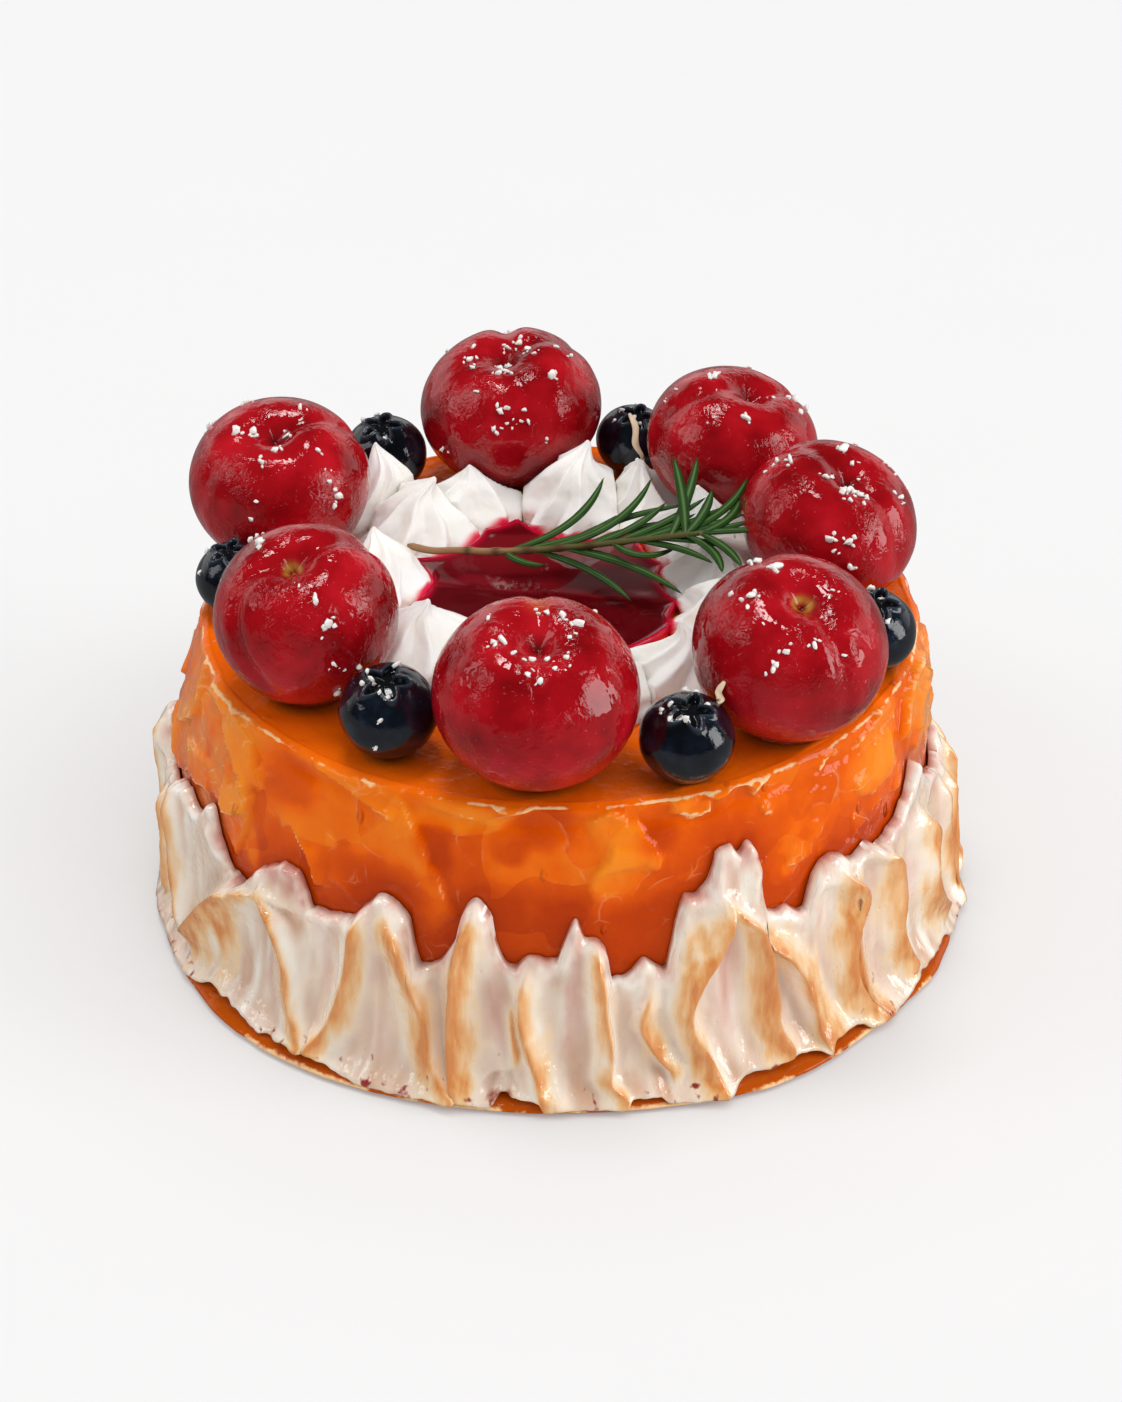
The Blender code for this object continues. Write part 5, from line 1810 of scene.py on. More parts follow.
# Each fruit: name, x, y, radius, both leans, and its sugar.
CHERRIES = (
    Cherry(
        "cherry_1", -3.1, -43.3, 13.9, 0.03, 0.28,
        ((33, 150, 0.6), (25, -170, 0.8), (19, -171, 1.2), (17, -140, 0.8), (28, -101, 0.7), (15, -102, 1.0),
            (15, -69, 0.7), (31, -87, 0.8), (25, 93, 0.6), (21, 76, 0.8), (22, 52, 0.9), (25, 28, 1.2),
            (17, 5, 0.7), (21, -41, 0.7), (27, -48, 0.6), (24, -67, 0.6), (57, 49, 0.6), (21, 11, 0.6)),
        flat=0.87, furrows=(Furrow(-90, 0.055, 0.1), Furrow(90, 0.05, 0.1, tint=0.9)), seed=1,
    ),
    Cherry(
        "cherry_2", 31.2, -31.8, 13.4, 0.14, 0.34,
        ((46, 128, 1.2), (29, 124, 1.3), (31, -177, 1.4), (45, 174, 0.7), (38, -175, 0.7), (35, -164, 0.8),
            (35, -80, 0.9), (41, -104, 0.9), (54, -110, 1.2), (33, -138, 0.5), (19, 26, 0.5), (22, 20, 0.4),
            (15, 10, 0.4), (46, -52, 0.6)),
        flat=0.9, furrows=(Furrow(-56, 0.06, 0.1), Furrow(118, 0.04, 0.14)), scarred=True, seed=2,
    ),
    Cherry(
        "cherry_3", 38.8, 5.6, 12.8, 0.3, 0.26,
        ((25, 100, 1.2), (14, 84, 0.8), (42, 169, 1.2), (53, 165, 0.8), (62, 172, 0.5), (18, -158, 0.9),
            (13, -162, 0.7), (10, -82, 1.1), (14, -98, 1.0), (18, -109, 1.0), (16, -67, 0.9), (20, -54, 0.8),
            (24, -91, 0.9), (25, -70, 0.8), (37, -8, 0.9), (38, 27, 0.6), (56, -102, 1.1), (54, -87, 1.2),
            (63, -96, 0.6), (72, -82, 1.0), (8, 26, 0.5), (38, 45, 0.5), (50, 80, 0.8), (66, 30, 0.9),
            (80, 110, 0.7)),
        flat=0.84, furrows=(Furrow(-40, 0.055, 0.1), Furrow(140, 0.04, 0.12)), seed=3,
    ),
    Cherry(
        "cherry_4", 25.9, 29.6, 13.0, 0.3, 0.05,
        ((27, 167, 1.2), (28, -161, 0.5), (56, 178, 0.6), (16, 7, 0.6), (31, 11, 1.1), (36, -10, 0.8),
            (45, 12, 0.9), (36, -99, 1.2), (67, -176, 0.5), (40, 90, 0.9), (62, 70, 1.1), (75, 110, 0.7),
            (52, 40, 0.8)),
        flat=0.84, furrows=(Furrow(30, 0.09, 0.12), Furrow(-160, 0.05, 0.14)), seed=4,
    ),
    Cherry(
        "cherry_5", -7.4, 41.0, 13.8, -0.12, 0.16,
        ((14, 76, 0.9), (17, 53, 0.9), (17, 19, 0.9), (22, 150, 0.7), (21, -175, 0.9), (22, -149, 0.9),
            (3, -33, 1.0), (11, -102, 0.9), (20, -97, 1.0), (18, -83, 0.9), (20, -7, 0.5), (36, 11, 0.7),
            (47, 4, 0.8), (40, -37, 1.2), (38, -118, 0.8), (51, -93, 1.1), (63, -99, 0.9), (60, -89, 0.6),
            (53, -75, 0.8), (62, -74, 0.8), (60, -79, 0.6), (78, -65, 0.6), (89, -138, 0.8), (64, -86, 0.4),
            (50, 85, 1.0), (68, 105, 0.8), (58, 140, 0.7)),
        flat=0.82, furrows=(Furrow(88, 0.1, 0.13), Furrow(32, 0.05, 0.12), Furrow(-70, 0.03, 0.12)), seed=5,
    ),
    Cherry(
        "cherry_6", -41.0, 17.0, 13.3, -0.04, 0.28,
        ((23, 177, 1.3), (13, 171, 1.1), (27, 53, 0.8), (8, 12, 0.9), (17, -84, 0.9), (28, -103, 0.9),
            (34, -29, 0.7), (47, -39, 0.5), (55, -42, 0.8), (67, -42, 1.1), (72, -47, 0.7), (56, -102, 0.5),
            (69, -105, 0.6), (44, 120, 0.9), (60, 150, 1.0), (74, 90, 0.7)),
        flat=0.86, furrows=(Furrow(25, 0.07, 0.12), Furrow(-150, 0.03, 0.14)), seed=6,
    ),
    Cherry(
        "cherry_7", -34.8, -22.7, 12.8, -0.16, 0.32,
        ((49, 130, 0.9), (48, 124, 0.7), (29, 134, 1.1), (22, -74, 0.5), (37, -64, 1.1), (53, -62, 1.0),
            (60, -71, 0.4), (80, -69, 0.8), (88, -64, 0.5), (91, -55, 0.8), (108, -72, 0.9)),
        flat=0.95, furrows=(Furrow(35, 0.085, 0.12), Furrow(-185, 0.075, 0.11, 42.0, 2.1)),
        scarred=True, seed=7,
    ),
)  # fmt: skip
BLUEBERRIES = (
    Blueberry("blueberry_1", -23.0, -38.2, 6.8, -0.05, 0.3, ((28, 139, 0.8), (27, 180, 0.8), (15, 175, 1.0),
        (19, -109, 0.7), (24, -84, 0.8), (28, 62, 0.9), (50, -97, 0.8), (88, -103, 0.6))),
    Blueberry("blueberry_2", 17.0, -44.6, 6.5, 0.05, 0.3, ((52, 96, 1.0), (38, 76, 0.8), (35, 172, 0.8),
        (24, 162, 0.7), (27, -149, 1.0), (17, -107, 1.0), (24, 30, 0.6))),
    Blueberry("blueberry_3", 43.6, -16.2, 6.3, 0.1, 0.25, ((29, 104, 1.1), (15, 62, 0.8), (34, -69, 0.8))),
    Blueberry("blueberry_4", 11.3, 42.0, 5.7, 0.1, 0.25, ((25, 158, 0.7), (5, 163, 0.7), (12, -59, 0.6),
        (36, -171, 0.5), (50, 90, 0.6))),
    Blueberry("blueberry_5", -26.4, 36.5, 6.3, -0.1, 0.2, ((40, 100, 0.8), (30, 150, 0.7))),
    Blueberry("blueberry_6", -46.6, 0.0, 5.6, -0.15, 0.15, ((42, 150, 0.7), (55, -160, 0.6))),
)  # fmt: skip


@dataclass
class SugarGrains:
    """Pearl sugar strewn over the fruit: blunt uneven crystals half sunk in the gel."""

    sink: float = 0.12
    thinness: float = 0.55  # height of a crystal for its width
    widths: tuple[Point, ...] = ((0.95, 1.35), (0.65, 1.0), (0.4, 0.7))  # of its three sides
    seed: int = 5

    def crystal(self, size: float, draw: np.random.Generator) -> Surface:
        """One crystal about its own centre: a ball pressed towards a rounded box.

        Each point of a small sphere is divided by the 4-norm of its direction, which squares it
        off, then stretched, dented a little by noise and turned at random.

        Args:
            size: width in millimetres.
            draw: source of the random numbers.

        Returns:
            The closed surface.
        """
        points = on_ball(np.radians(np.array([28.0, 55.0, 90.0, 125.0, 152.0]))[:, None], turns(8))
        ends = np.array([[0.0, 0.0, 1.0], [0.0, 0.0, -1.0]])
        turned, _ = np.linalg.qr(draw.normal(size=(3, 3)))
        stretch = np.array([draw.uniform(*span) for span in self.widths]) * size / 2.0
        offset = draw.uniform(0.0, 50.0, 3)

        def shaped(place: Array) -> Array:
            """The crystal's points for those of the ball."""
            boxed = place / (np.abs(place) ** 4).sum(-1, keepdims=True) ** 0.25
            dented = boxed * (0.92 + 0.55 * noise(place + offset, 0.8, 9))[..., None]
            return (dented * stretch) @ turned.T

        rings, ends = shaped(points), shaped(ends)
        return capped(rings, ends[0], ends[1])

    def clustered(self, sugar: tuple, draw: np.random.Generator) -> list[tuple]:
        """Grains and the crumbs beside them.

        A larger crystal has one to three crumbs and a smaller one at most one, each about 4
        degrees away.

        Args:
            sugar: (degrees from the stalk end, degrees round it, size) of each grain.
            draw: source of the random numbers.

        Returns:
            The same three numbers for every grain and crumb.
        """
        grains = [(across, turn, 1.12 * size) for across, turn, size in sugar]
        for across, turn, size in sugar:
            spread = max(np.sin(np.radians(across)), 0.15)
            for _ in range(draw.integers(1, 4) if size > 0.85 else draw.integers(0, 2)):
                way, off = draw.uniform(0.0, 2.0 * np.pi), 4.2 * draw.uniform(0.8, 1.2)
                crumb = size * draw.uniform(0.45, 0.75)
                grains.append((across + off * np.cos(way), turn + off * np.sin(way) / spread, crumb))
        return grains

    def surface(self, fruits: tuple[Fruit, ...]) -> Surface:
        """All the crystals, each on its fruit's own skin.

        Args:
            fruits: the fruits that carry sugar.

        Returns:
            All of them as one surface.
        """
        draw = np.random.default_rng(self.seed)
        grains = []
        for fruit in fruits:
            for across, turn, size in self.clustered(fruit.sugar, draw):
                spot = fruit.placed(fruit.outline(np.radians([float(across)]), np.radians([float(turn)])))[0]
                middle = fruit.placed(np.zeros((1, 3)))[0]
                outwards = (spot - middle) / np.linalg.norm(spot - middle)
                grain = self.crystal(size, draw)
                grain.points = grain.points + spot + outwards * (0.5 * size * self.thinness - self.sink)
                grains.append(grain)
        return joined(grains)


# ---------------------------------------------------------------- cream, gel and sprig

FACET_GAP = 0.55  # air kept between the cream and the fruit
SAUCE_DEPTH = 1.5
SAUCE_CENTRE = (-2.0, 4.0)
SAUCE_REACH = 20.5
# Reach of a rosette for a radius of 1, as (share of the height, reach).
CREAM_OUTLINE = ((0.0, 0.97), (0.16, 1.0), (0.38, 0.85), (0.6, 0.58), (0.8, 0.28), (0.92, 0.11), (1.0, 0.02))


@dataclass(frozen=True)
class Dollop:
    """One piped rosette of cream: soft ribs run up to a tip that curls over."""

    x: float
    y: float
    height: float
    radius: float
    tip_x: float
    tip_y: float
    turn: float
    ribs: int
    curl: float

    depth = 0.42  # of the creases, as a share of the radius
    stand = 0.04  # air under its foot
    rows = 56
    columns = 128

    def surface(self, balls: list[tuple], others: list["Dollop"], pool: "SaucePool") -> Surface:
        """The rosette, held clear of fruit and of its neighbours.

        Each level is a ring that turns as the rosette climbs. Towards the top its middle moves
        to the tip and then curls sideways. Planes between neighbours and balls round the fruit
        stop the ring.

        Args:
            balls: (centre, radius) of each fruit.
            others: all rosettes.
            pool: the sauce that stains the foot.

        Returns:
            The closed surface with the mark stain.
        """
        share = np.linspace(0.0, 1.0, self.rows)[:, None] ** 0.85
        level = TOP + self.stand + share * (self.height + GAP - self.stand)
        angle = turns(self.columns) + np.radians(self.turn + 42.0 * share**1.2)
        heading = np.stack([np.cos(angle), np.sin(angle)], -1)
        reach = self.ribbed(share, heading, level)
        curl = self.curl * (eased((share - 0.7) / 0.3) ** 1.5 - 0.4 * eased((share - 0.35) / 0.35))
        bend = np.radians(self.turn * 7.0)
        tip = np.array([self.tip_x, self.tip_y]) * share**2 + curl * np.array([np.cos(bend), np.sin(bend)])
        middle = self.pushed_clear(np.array([self.x, self.y]) + tip, level, balls)
        reach = self.stopped(middle, heading, level, reach, balls, others)
        upright = np.broadcast_to(level, reach.shape)[..., None]
        rings = np.concatenate([middle[:, None] + heading * reach[..., None], upright], -1)
        from_pool = rings[..., :2] - SAUCE_CENTRE
        way = np.degrees(np.arctan2(from_pool[..., 1], from_pool[..., 0]))
        wet = eased((pool.edge_at(way) + 2.2 - np.hypot(from_pool[..., 0], from_pool[..., 1])) / 1.2)
        soak = 0.2 + 0.6 * np.clip(0.5 + layered(rings, 2.2, 311), 0.0, 1.3)
        stain = wet * (1.0 - eased((rings[..., 2] - pool.level - soak) / 0.4))
        top = np.array([*middle[-1], level[-1, 0] + 0.02])
        return capped(rings, np.array([self.x, self.y, TOP + self.stand]), top, {"stain": stain})

    def ribbed(self, share: Array, heading: Array, level: Array) -> Array:
        """Reach of each ring before anything stops it.

        It follows the outline. Near the foot its ribs are round lobes, drawn in between them by
        1 - |sin|; higher up they are soft ridges, drawn in by |cos|. Slow waves and noise make
        the ribs uneven.

        Args:
            share: how far up each ring is, (rows, 1).
            heading: level directions, (rows, columns, 2).
            level: heights, (rows, 1).

        Returns:
            The reach in millimetres, (rows, columns).
        """
        turn = turns(self.columns)
        uneven = 0.2 * np.sin(2.0 * turn + self.x) + 0.13 * np.sin(3.0 * turn + self.y)
        phase = 0.5 * self.ribs * (turn + uneven)
        lobes = 1.0 - np.sqrt(np.sin(phase) ** 2 + 0.03)
        ridged = np.sqrt(np.cos(phase) ** 2 + 0.008)
        upper = eased((share - 0.1) / 0.5)
        crease = 0.8 * lobes * (1.0 - upper) + ridged * upper
        upright = np.broadcast_to(level[..., None], (*heading.shape[:2], 1))
        plain = np.concatenate([heading * self.radius * share[..., None] ** 0.2, upright], -1)
        depth = self.depth * eased(share * 5.0 + 0.45) * (1.0 - 0.3 * share)
        depth = depth * (1.0 + 0.45 * noise(plain + (self.y, self.x, 0.0), 6.0, 305))
        bumpy = 0.16 * layered(plain + (self.x, self.y, 0.0), 5.0, 301) + 0.04 * layered(plain, 1.6, 307)
        return self.radius * flowing(share, CREAM_OUTLINE) * (1.0 - depth * crease) * (1.0 + bumpy)

    def pushed_clear(self, spot: Array, level: Array, balls: list[tuple]) -> Array:
        """Moves the middle of each ring sideways until it lies outside every fruit.

        Args:
            spot: middles, (rows, 2).
            level: their heights, (rows, 1).
            balls: (centre, radius) of each fruit.

        Returns:
            The moved middles.
        """
        for centre, radius in balls:
            square = (radius + FACET_GAP) ** 2 - (level[:, 0] - centre[2]) ** 2
            offset = spot - centre[:2]
            distance = np.hypot(*offset.T)
            wanted = np.sqrt(np.clip(square, 0.0, None)) + 0.6
            push = np.where((square > 0.0) & (distance < wanted), wanted / np.maximum(distance, 0.01), 1.0)
            spot = centre[:2] + offset * push[:, None]
        return spot

    def stopped(
        self,
        middle: Array,
        heading: Array,
        level: Array,
        reach: Array,
        balls: list[tuple],
        others: list["Dollop"],
    ) -> Array:
        """Shortens each ring's reach at the planes between rosettes and at the fruit.

        Args:
            middle: middles of the rings, (rows, 2).
            heading: level directions, (rows, columns, 2).
            level: heights, (rows, 1).
            reach: reach along each direction.
            balls: (centre, radius) of each fruit.
            others: all rosettes.

        Returns:
            The shortened reach.
        """
        for other in others:
            both = self.radius + other.radius
            if other is self or np.hypot(other.x - self.x, other.y - self.y) > both:
                continue
            offset = np.array([other.x, other.y]) - middle
            distance = np.hypot(*offset.T)[:, None]
            towards = np.einsum("rcd,rd->rc", heading, offset / distance)
            stop = (distance * self.radius / both - 0.02) / np.maximum(towards, 0.05)
            reach = np.minimum(reach, np.where(towards > 0.05, stop, np.inf))
        for centre, radius in balls:
            square = (radius + FACET_GAP) ** 2 - (level - centre[2]) ** 2
            offset = centre[:2] - middle
            along = np.einsum("rcd,rd->rc", heading, offset)
            inside = square - ((offset**2).sum(-1)[:, None] - along**2)
            stop = np.where(inside > 0.0, along - np.sqrt(np.clip(inside, 0.0, None)), np.inf)
            reach = np.where((stop > 0.0) & (stop < reach), stop, reach)
        return reach


# Each rosette: x, y, height, radius, way of the tip in x and y, turn, ribs and curl.
DOLLOPS = (
    Dollop(-21.0, 21.5, 9.5, 10.0, 1.0, 0.5, 0.0, 8, 2.4),
    Dollop(-27.5, 26.5, 12.5, 8.0, 1.0, 0.0, 20.0, 6, 1.8),
    Dollop(-13.0, 28.5, 8.5, 8.5, 0.0, 0.0, 10.0, 7, 1.4),
    Dollop(3.4, 27.0, 12.5, 10.0, -0.5, 0.0, 5.0, 8, 2.6),
    Dollop(13.0, 27.5, 10.0, 9.0, -0.5, 0.0, 30.0, 7, 1.8),
    Dollop(20.5, 17.0, 11.0, 9.0, 1.0, 0.8, 15.0, 7, 1.8),
    Dollop(23.5, 6.0, 8.5, 9.5, -1.0, 0.0, 40.0, 7, 1.8),
    Dollop(25.0, -5.5, 9.0, 9.5, -0.5, 0.5, 0.0, 7, 1.6),
    Dollop(18.5, -20.0, 9.5, 10.5, -0.5, 0.0, 25.0, 8, 1.8),
    Dollop(4.8, -25.0, 9.0, 9.5, 0.0, 0.0, 10.0, 7, 1.5),
    Dollop(-9.0, -25.0, 9.0, 9.5, 0.0, 0.0, 35.0, 7, 1.5),
    Dollop(-20.0, -14.0, 9.5, 10.0, 0.5, 0.0, 0.0, 7, 1.8),
    Dollop(-27.5, 4.5, 9.5, 9.0, 1.7, 1.5, 20.0, 7, 2.2),
)


@dataclass
class SaucePool:
    """The pool of red gel in the middle: level at the back, folded and sinking at the front."""

    columns: int = 240
    rows: int = 36
    level: float = TOP + GAP + SAUCE_DEPTH
    creep: float = 0.55  # how far it creeps in between the ribs of the cream

    def edge_at(self, way: Array) -> Array:
        """Reach of the pool from its centre: it stops at the circle round each rosette.

        Args:
            way: directions in degrees.

        Returns:
            Distances in millimetres.
        """
        heading = np.stack([np.cos(np.radians(way)), np.sin(np.radians(way))], -1)
        reach = np.full(way.shape, SAUCE_REACH)
        for dollop in DOLLOPS:
            offset = np.array([dollop.x, dollop.y]) - SAUCE_CENTRE
            along = heading @ offset
            inside = (dollop.radius + GAP) ** 2 - (offset @ offset - along**2)
            stop = along - np.sqrt(np.clip(inside, 0.0, None))
            reach = np.where((inside > 0.0) & (stop > 0.0), np.minimum(reach, stop), reach)
        return reach

    def surface(self) -> Surface:
        """The pool: a face that is level at the back, with a rim where it clings, and a floor.

        In front of a slanting line the gel sinks and folds, and there it is painted darkest: painted
        shade where the folded gel stops mirroring the bright room.

        Returns:
            The closed surface with the marks thin and deep.
        """
        way = circle(self.columns)
        edge = self.edge_at(way) + self.creep
        reach = edge * np.linspace(0.04, 1.0, self.rows)[::-1, None] ** 0.8
        x = SAUCE_CENTRE[0] + reach * np.cos(np.radians(way))
        y = SAUCE_CENTRE[1] + reach * np.sin(np.radians(way))
        place = np.stack([x, y, 0.0 * x], -1)
        folds = eased((x - 1.0) / 6.0) * eased((4.0 - y) / 6.0)
        sunk = np.clip(1.5 - 0.12 * x - y, 0.0, None)
        soft = 0.02 * layered(place, 9.0, 401) + 0.2 * folds * layered(place * (1.0, 1.4, 1.0), 6.0, 409)
        soft = soft - 0.06 * sunk - 0.12 * eased(sunk / 0.5)
        soft = soft + 0.1 * eased(sunk / 2.0) * layered(place * (0.6, 1.3, 1.0), 5.0, 411, 2)
        climb = 0.35 * np.exp(-(edge - reach) / 0.5)
        upper = np.stack([x, y, self.level - 0.12 + climb + soft * eased((edge - reach) / 1.5)], -1)
        heights = (TOP + 0.1, TOP + 0.8)
        sides = np.stack([np.stack([x[0], y[0], np.full(self.columns, z)], -1) for z in heights])
        middle = np.array([*SAUCE_CENTRE, 0.0])
        under = middle + (sides[:1] - middle) * (0.6, 0.6, 1.0)
        wavy = sunk + 0.5 * layered(place * (0.4, 1.5, 1.0), 5.0, 413)
        # painted shade: the sunk front past a wavy line is painted the darkest red
        deep = eased(wavy / 0.3) * (0.8 + 0.2 * eased(3.0 * layered(place * (0.6, 1.3, 1.0), 4.0, 415)))
        base = np.zeros((3, self.columns))
        thin = np.concatenate([base + 1.0, 0.9 * bell(edge - reach, 0.7)])
        marks = {"thin": thin, "deep": np.concatenate([base, deep])}
        rings = np.concatenate([under, sides, upper])
        return capped(rings, middle + (0.0, 0.0, TOP + 0.1), middle + (0.0, 0.0, self.level - 0.12), marks)


def cream_height(x: Array, y: Array) -> Array:
    """Height of the cream over the cake's top, without its ribs.

    Args:
        x: places along X in millimetres.
        y: places along Y.

    Returns:
        The heights in millimetres, nought beside the cream.
    """
    shares, widths = np.array(CREAM_OUTLINE[:-1] + ((1.0, 0.0),)).T
    found = np.zeros(x.shape)
    for dollop in DOLLOPS:
        distance = np.hypot(x - dollop.x, y - dollop.y) / dollop.radius
        here = dollop.height * np.interp(-distance, -widths[1:], shares[1:])
        found = np.maximum(found, np.where(distance < 1.0, here, 0.0))
    return found


def lifted(path: Array, clearance: float = 1.05) -> Array:
    """Raises a path (points, 3) over the cream wherever it would touch it."""
    rest = TOP + GAP + cream_height(path[:, 0], path[:, 1]) + clearance
    return np.column_stack([path[:, :2], np.maximum(path[:, 2], rest)])


def smooth_path(knots: Array, count: int) -> Array:
    """Points evenly spaced along a Catmull-Rom curve through the given ones.

    Args:
        knots: points that the curve runs through, (knots, 3).
        count: how many points are wanted.

    Returns:
        The points, (count, 3).
    """
    padded = np.vstack([2.0 * knots[0] - knots[1], knots, 2.0 * knots[-1] - knots[-2]])
    places = np.linspace(0.0, len(knots) - 1.0, count)
    piece = np.minimum(places.astype(int), len(knots) - 2)
    part = (places - piece)[:, None]
    before, start, end, after = (padded[piece + k] for k in range(4))
    return 0.5 * (
        2.0 * start
        + (end - before) * part
        + (2.0 * before - 5.0 * start + 4.0 * end - after) * part**2
        + (3.0 * start - before - 3.0 * end + after) * part**3
    )


def framed(path: Array) -> tuple[Array, Array]:
    """Level side and upper side of a path at each of its points, both of length 1."""
    heading = np.gradient(path, axis=0)
    side = np.cross(heading, (0.0, 0.0, 1.0))
    side /= np.linalg.norm(side, axis=1)[:, None]
    up = np.cross(side, heading)
    return side, up / np.linalg.norm(up, axis=1)[:, None]


# Width of a needle at each share of its length.
NEEDLE_OUTLINE = ((0.0, 0.35), (0.1, 0.72), (0.3, 1.0), (0.6, 0.97), (0.82, 0.7), (0.95, 0.34), (1.0, 0.1))
# The stem's course as x, y and height over the top.
STEM_POINTS = (
    (-22.2, 9.6, 4.0), (-14.4, 8.6, 4.6), (-9.1, 7.2, 5.2), (0.1, 5.4, 6.8), (8.7, 3.6, 8.8),
    (15.1, 2.2, 10.4), (20.1, 1.2, 11.6),
)  # fmt: skip
# Each needle: its place along the stem, its tip's x, y and height over the top, and its bow.
NEEDLES = (
    (0.34, 6.4, 18.6, 11.0, -3.4), (0.46, 13.4, 16.7, 12.0, -4.3), (0.50, 18.6, 10.7, 11.0, 2.0),
    (0.58, 17.9, 7.7, 10.0, 1.2), (0.95, 16.6, 17.0, 15.5, -0.4), (0.87, 20.1, 16.7, 15.5, -0.5),
    (0.83, 27.2, 12.8, 14.2, -2.2), (0.98, 26.0, 8.8, 13.0, -1.4), (0.33, -2.1, 5.4, 4.0, -1.2),
    (0.42, 10.1, -3.0, 3.0, 1.9), (0.53, 17.2, -7.1, 6.5, 1.9), (0.61, 16.6, 3.3, 8.0, -2.9),
    (0.90, 23.0, -6.3, 9.5, 1.4), (1.0, 25.7, -6.4, 10.5, 0.8), (0.67, 19.5, 7.0, 11.5, -0.9),
    (0.74, 18.0, 7.4, 10.5, -0.5), (0.42, 8.2, 11.0, 9.0, -1.6), (0.54, 15.4, 10.2, 11.6, -1.4),
    (0.63, 21.0, 9.4, 12.8, -1.0), (0.70, 23.4, 7.0, 12.6, -0.8), (0.78, 26.6, 5.2, 12.6, -0.6),
    (0.88, 28.0, 3.6, 12.4, -0.5), (0.72, 21.6, -3.4, 9.4, 1.2), (0.82, 24.4, -1.6, 10.8, 0.8),
    (0.38, 4.0, 8.6, 7.6, -0.9), (0.48, 10.6, 1.0, 6.4, 0.9), (0.98, 29.0, 1.0, 12.2, 0.3),
    (0.93, 22.0, 9.6, 14.0, -0.7),
)  # fmt: skip


@dataclass
class RosemarySprig:
    """The sprig laid across the cream: a knotty stem and curved needles with a pale midrib."""

    stem_steps: int = 14  # straight parts of the stem; needles grow where they meet
    stem_radius: float = 0.56
    needle_width: float = 1.55
    needle_thickness: float = 0.62
    knots: tuple[float, ...] = (0.2, 0.33, 0.42, 0.5, 0.58, 0.67, 0.75, 0.84, 0.92)

    def stem(self, path: Array) -> Surface:
        """The stem: a round tube, thinner towards the young end, swollen at its knots.

        Args:
            path: its middle line, (points, 3).

        Returns:
            The closed surface with the marks rib, wood and joint.
        """
        share = np.linspace(0.0, 1.0, len(path))[:, None]
        side, up = framed(path)
        turn = turns(14)
        knot = sum(bell(share - k, 0.018) for k in self.knots)
        radius = self.stem_radius * (1.0 - 0.4 * share) * (1.0 + 0.28 * knot)
        radius = radius * (1.0 + 0.06 * np.cos(4.0 * turn + 9.0 * share))
        radius = radius * np.clip(np.minimum(share, 1.0 - share) / 0.012, 0.35, 1.0)
        spread = side[:, None] * np.cos(turn)[..., None] + up[:, None] * np.sin(turn)[..., None]
        rings = path[:, None] + radius[..., None] * spread
        full = np.ones(rings.shape[:2])
        marks = {
            "rib": 0.0 * full,
            "wood": full * (0.25 + 0.75 * eased((0.5 - share) / 0.2)),
            "joint": full * np.clip(0.8 * knot * (share < 0.6), 0.0, 1.0),
        }
        return capped(rings, path[0], path[-1], marks)

    def needle(self, start: Array, tip: Array, bow: float) -> Surface:
        """One needle along a quadratic curve that bows to one side.

        Its section is a lens with a groove down its upper face; its width grows fast from the
        stem, stays full over the middle and closes in a blunt point.

        Args:
            start: where it leaves the stem.
            tip: where it ends.
            bow: how far its middle bends aside, in millimetres.

        Returns:
            The closed surface with the marks rib, wood and joint.
        """
        along = tip - start
        aside = np.array([-along[1], along[0], 0.0]) / np.hypot(along[0], along[1])
        control = 0.5 * (start + tip) + 2.0 * bow * aside
        share = np.linspace(0.0, 1.0, 26)[:, None] ** 0.9
        line = lifted((1.0 - share) ** 2 * start + 2.0 * share * (1.0 - share) * control + share**2 * tip)
        side, up = framed(line)
        width = flowing(share, NEEDLE_OUTLINE)
        across, over = np.cos(turns(16)), np.sin(turns(16))
        groove = bell(across, 0.17) * (over > 0.0)
        out = self.needle_width / 2.0 * width * across
        rise = self.needle_thickness / 2.0 * width**0.7 * over * (1.0 - 0.55 * groove)
        rings = line[:, None] + side[:, None] * out[..., None] + up[:, None] * rise[..., None]
        marks = {
            "rib": 0.5 * groove * (width > 0.3),
            "wood": 0.6 * eased((0.06 - share) / 0.06) + 0.0 * out,
            "joint": 0.0 * out,
        }
        return capped(rings, line[0], line[-1] + 0.02 * along, marks)

    def surface(self) -> Surface:
        """The stem with all its needles."""
        knots = np.array(STEM_POINTS) + (0.0, 0.0, TOP + GAP)
        coarse = lifted(smooth_path(knots, self.stem_steps + 1))
        parts = [self.stem(lifted(smooth_path(coarse, 120)))]
        for place, x, y, height, bow in NEEDLES:
            start = coarse[round(place * self.stem_steps)]
            parts.append(self.needle(start, np.array([x, y, TOP + GAP + height]), bow))
        return joined(parts)


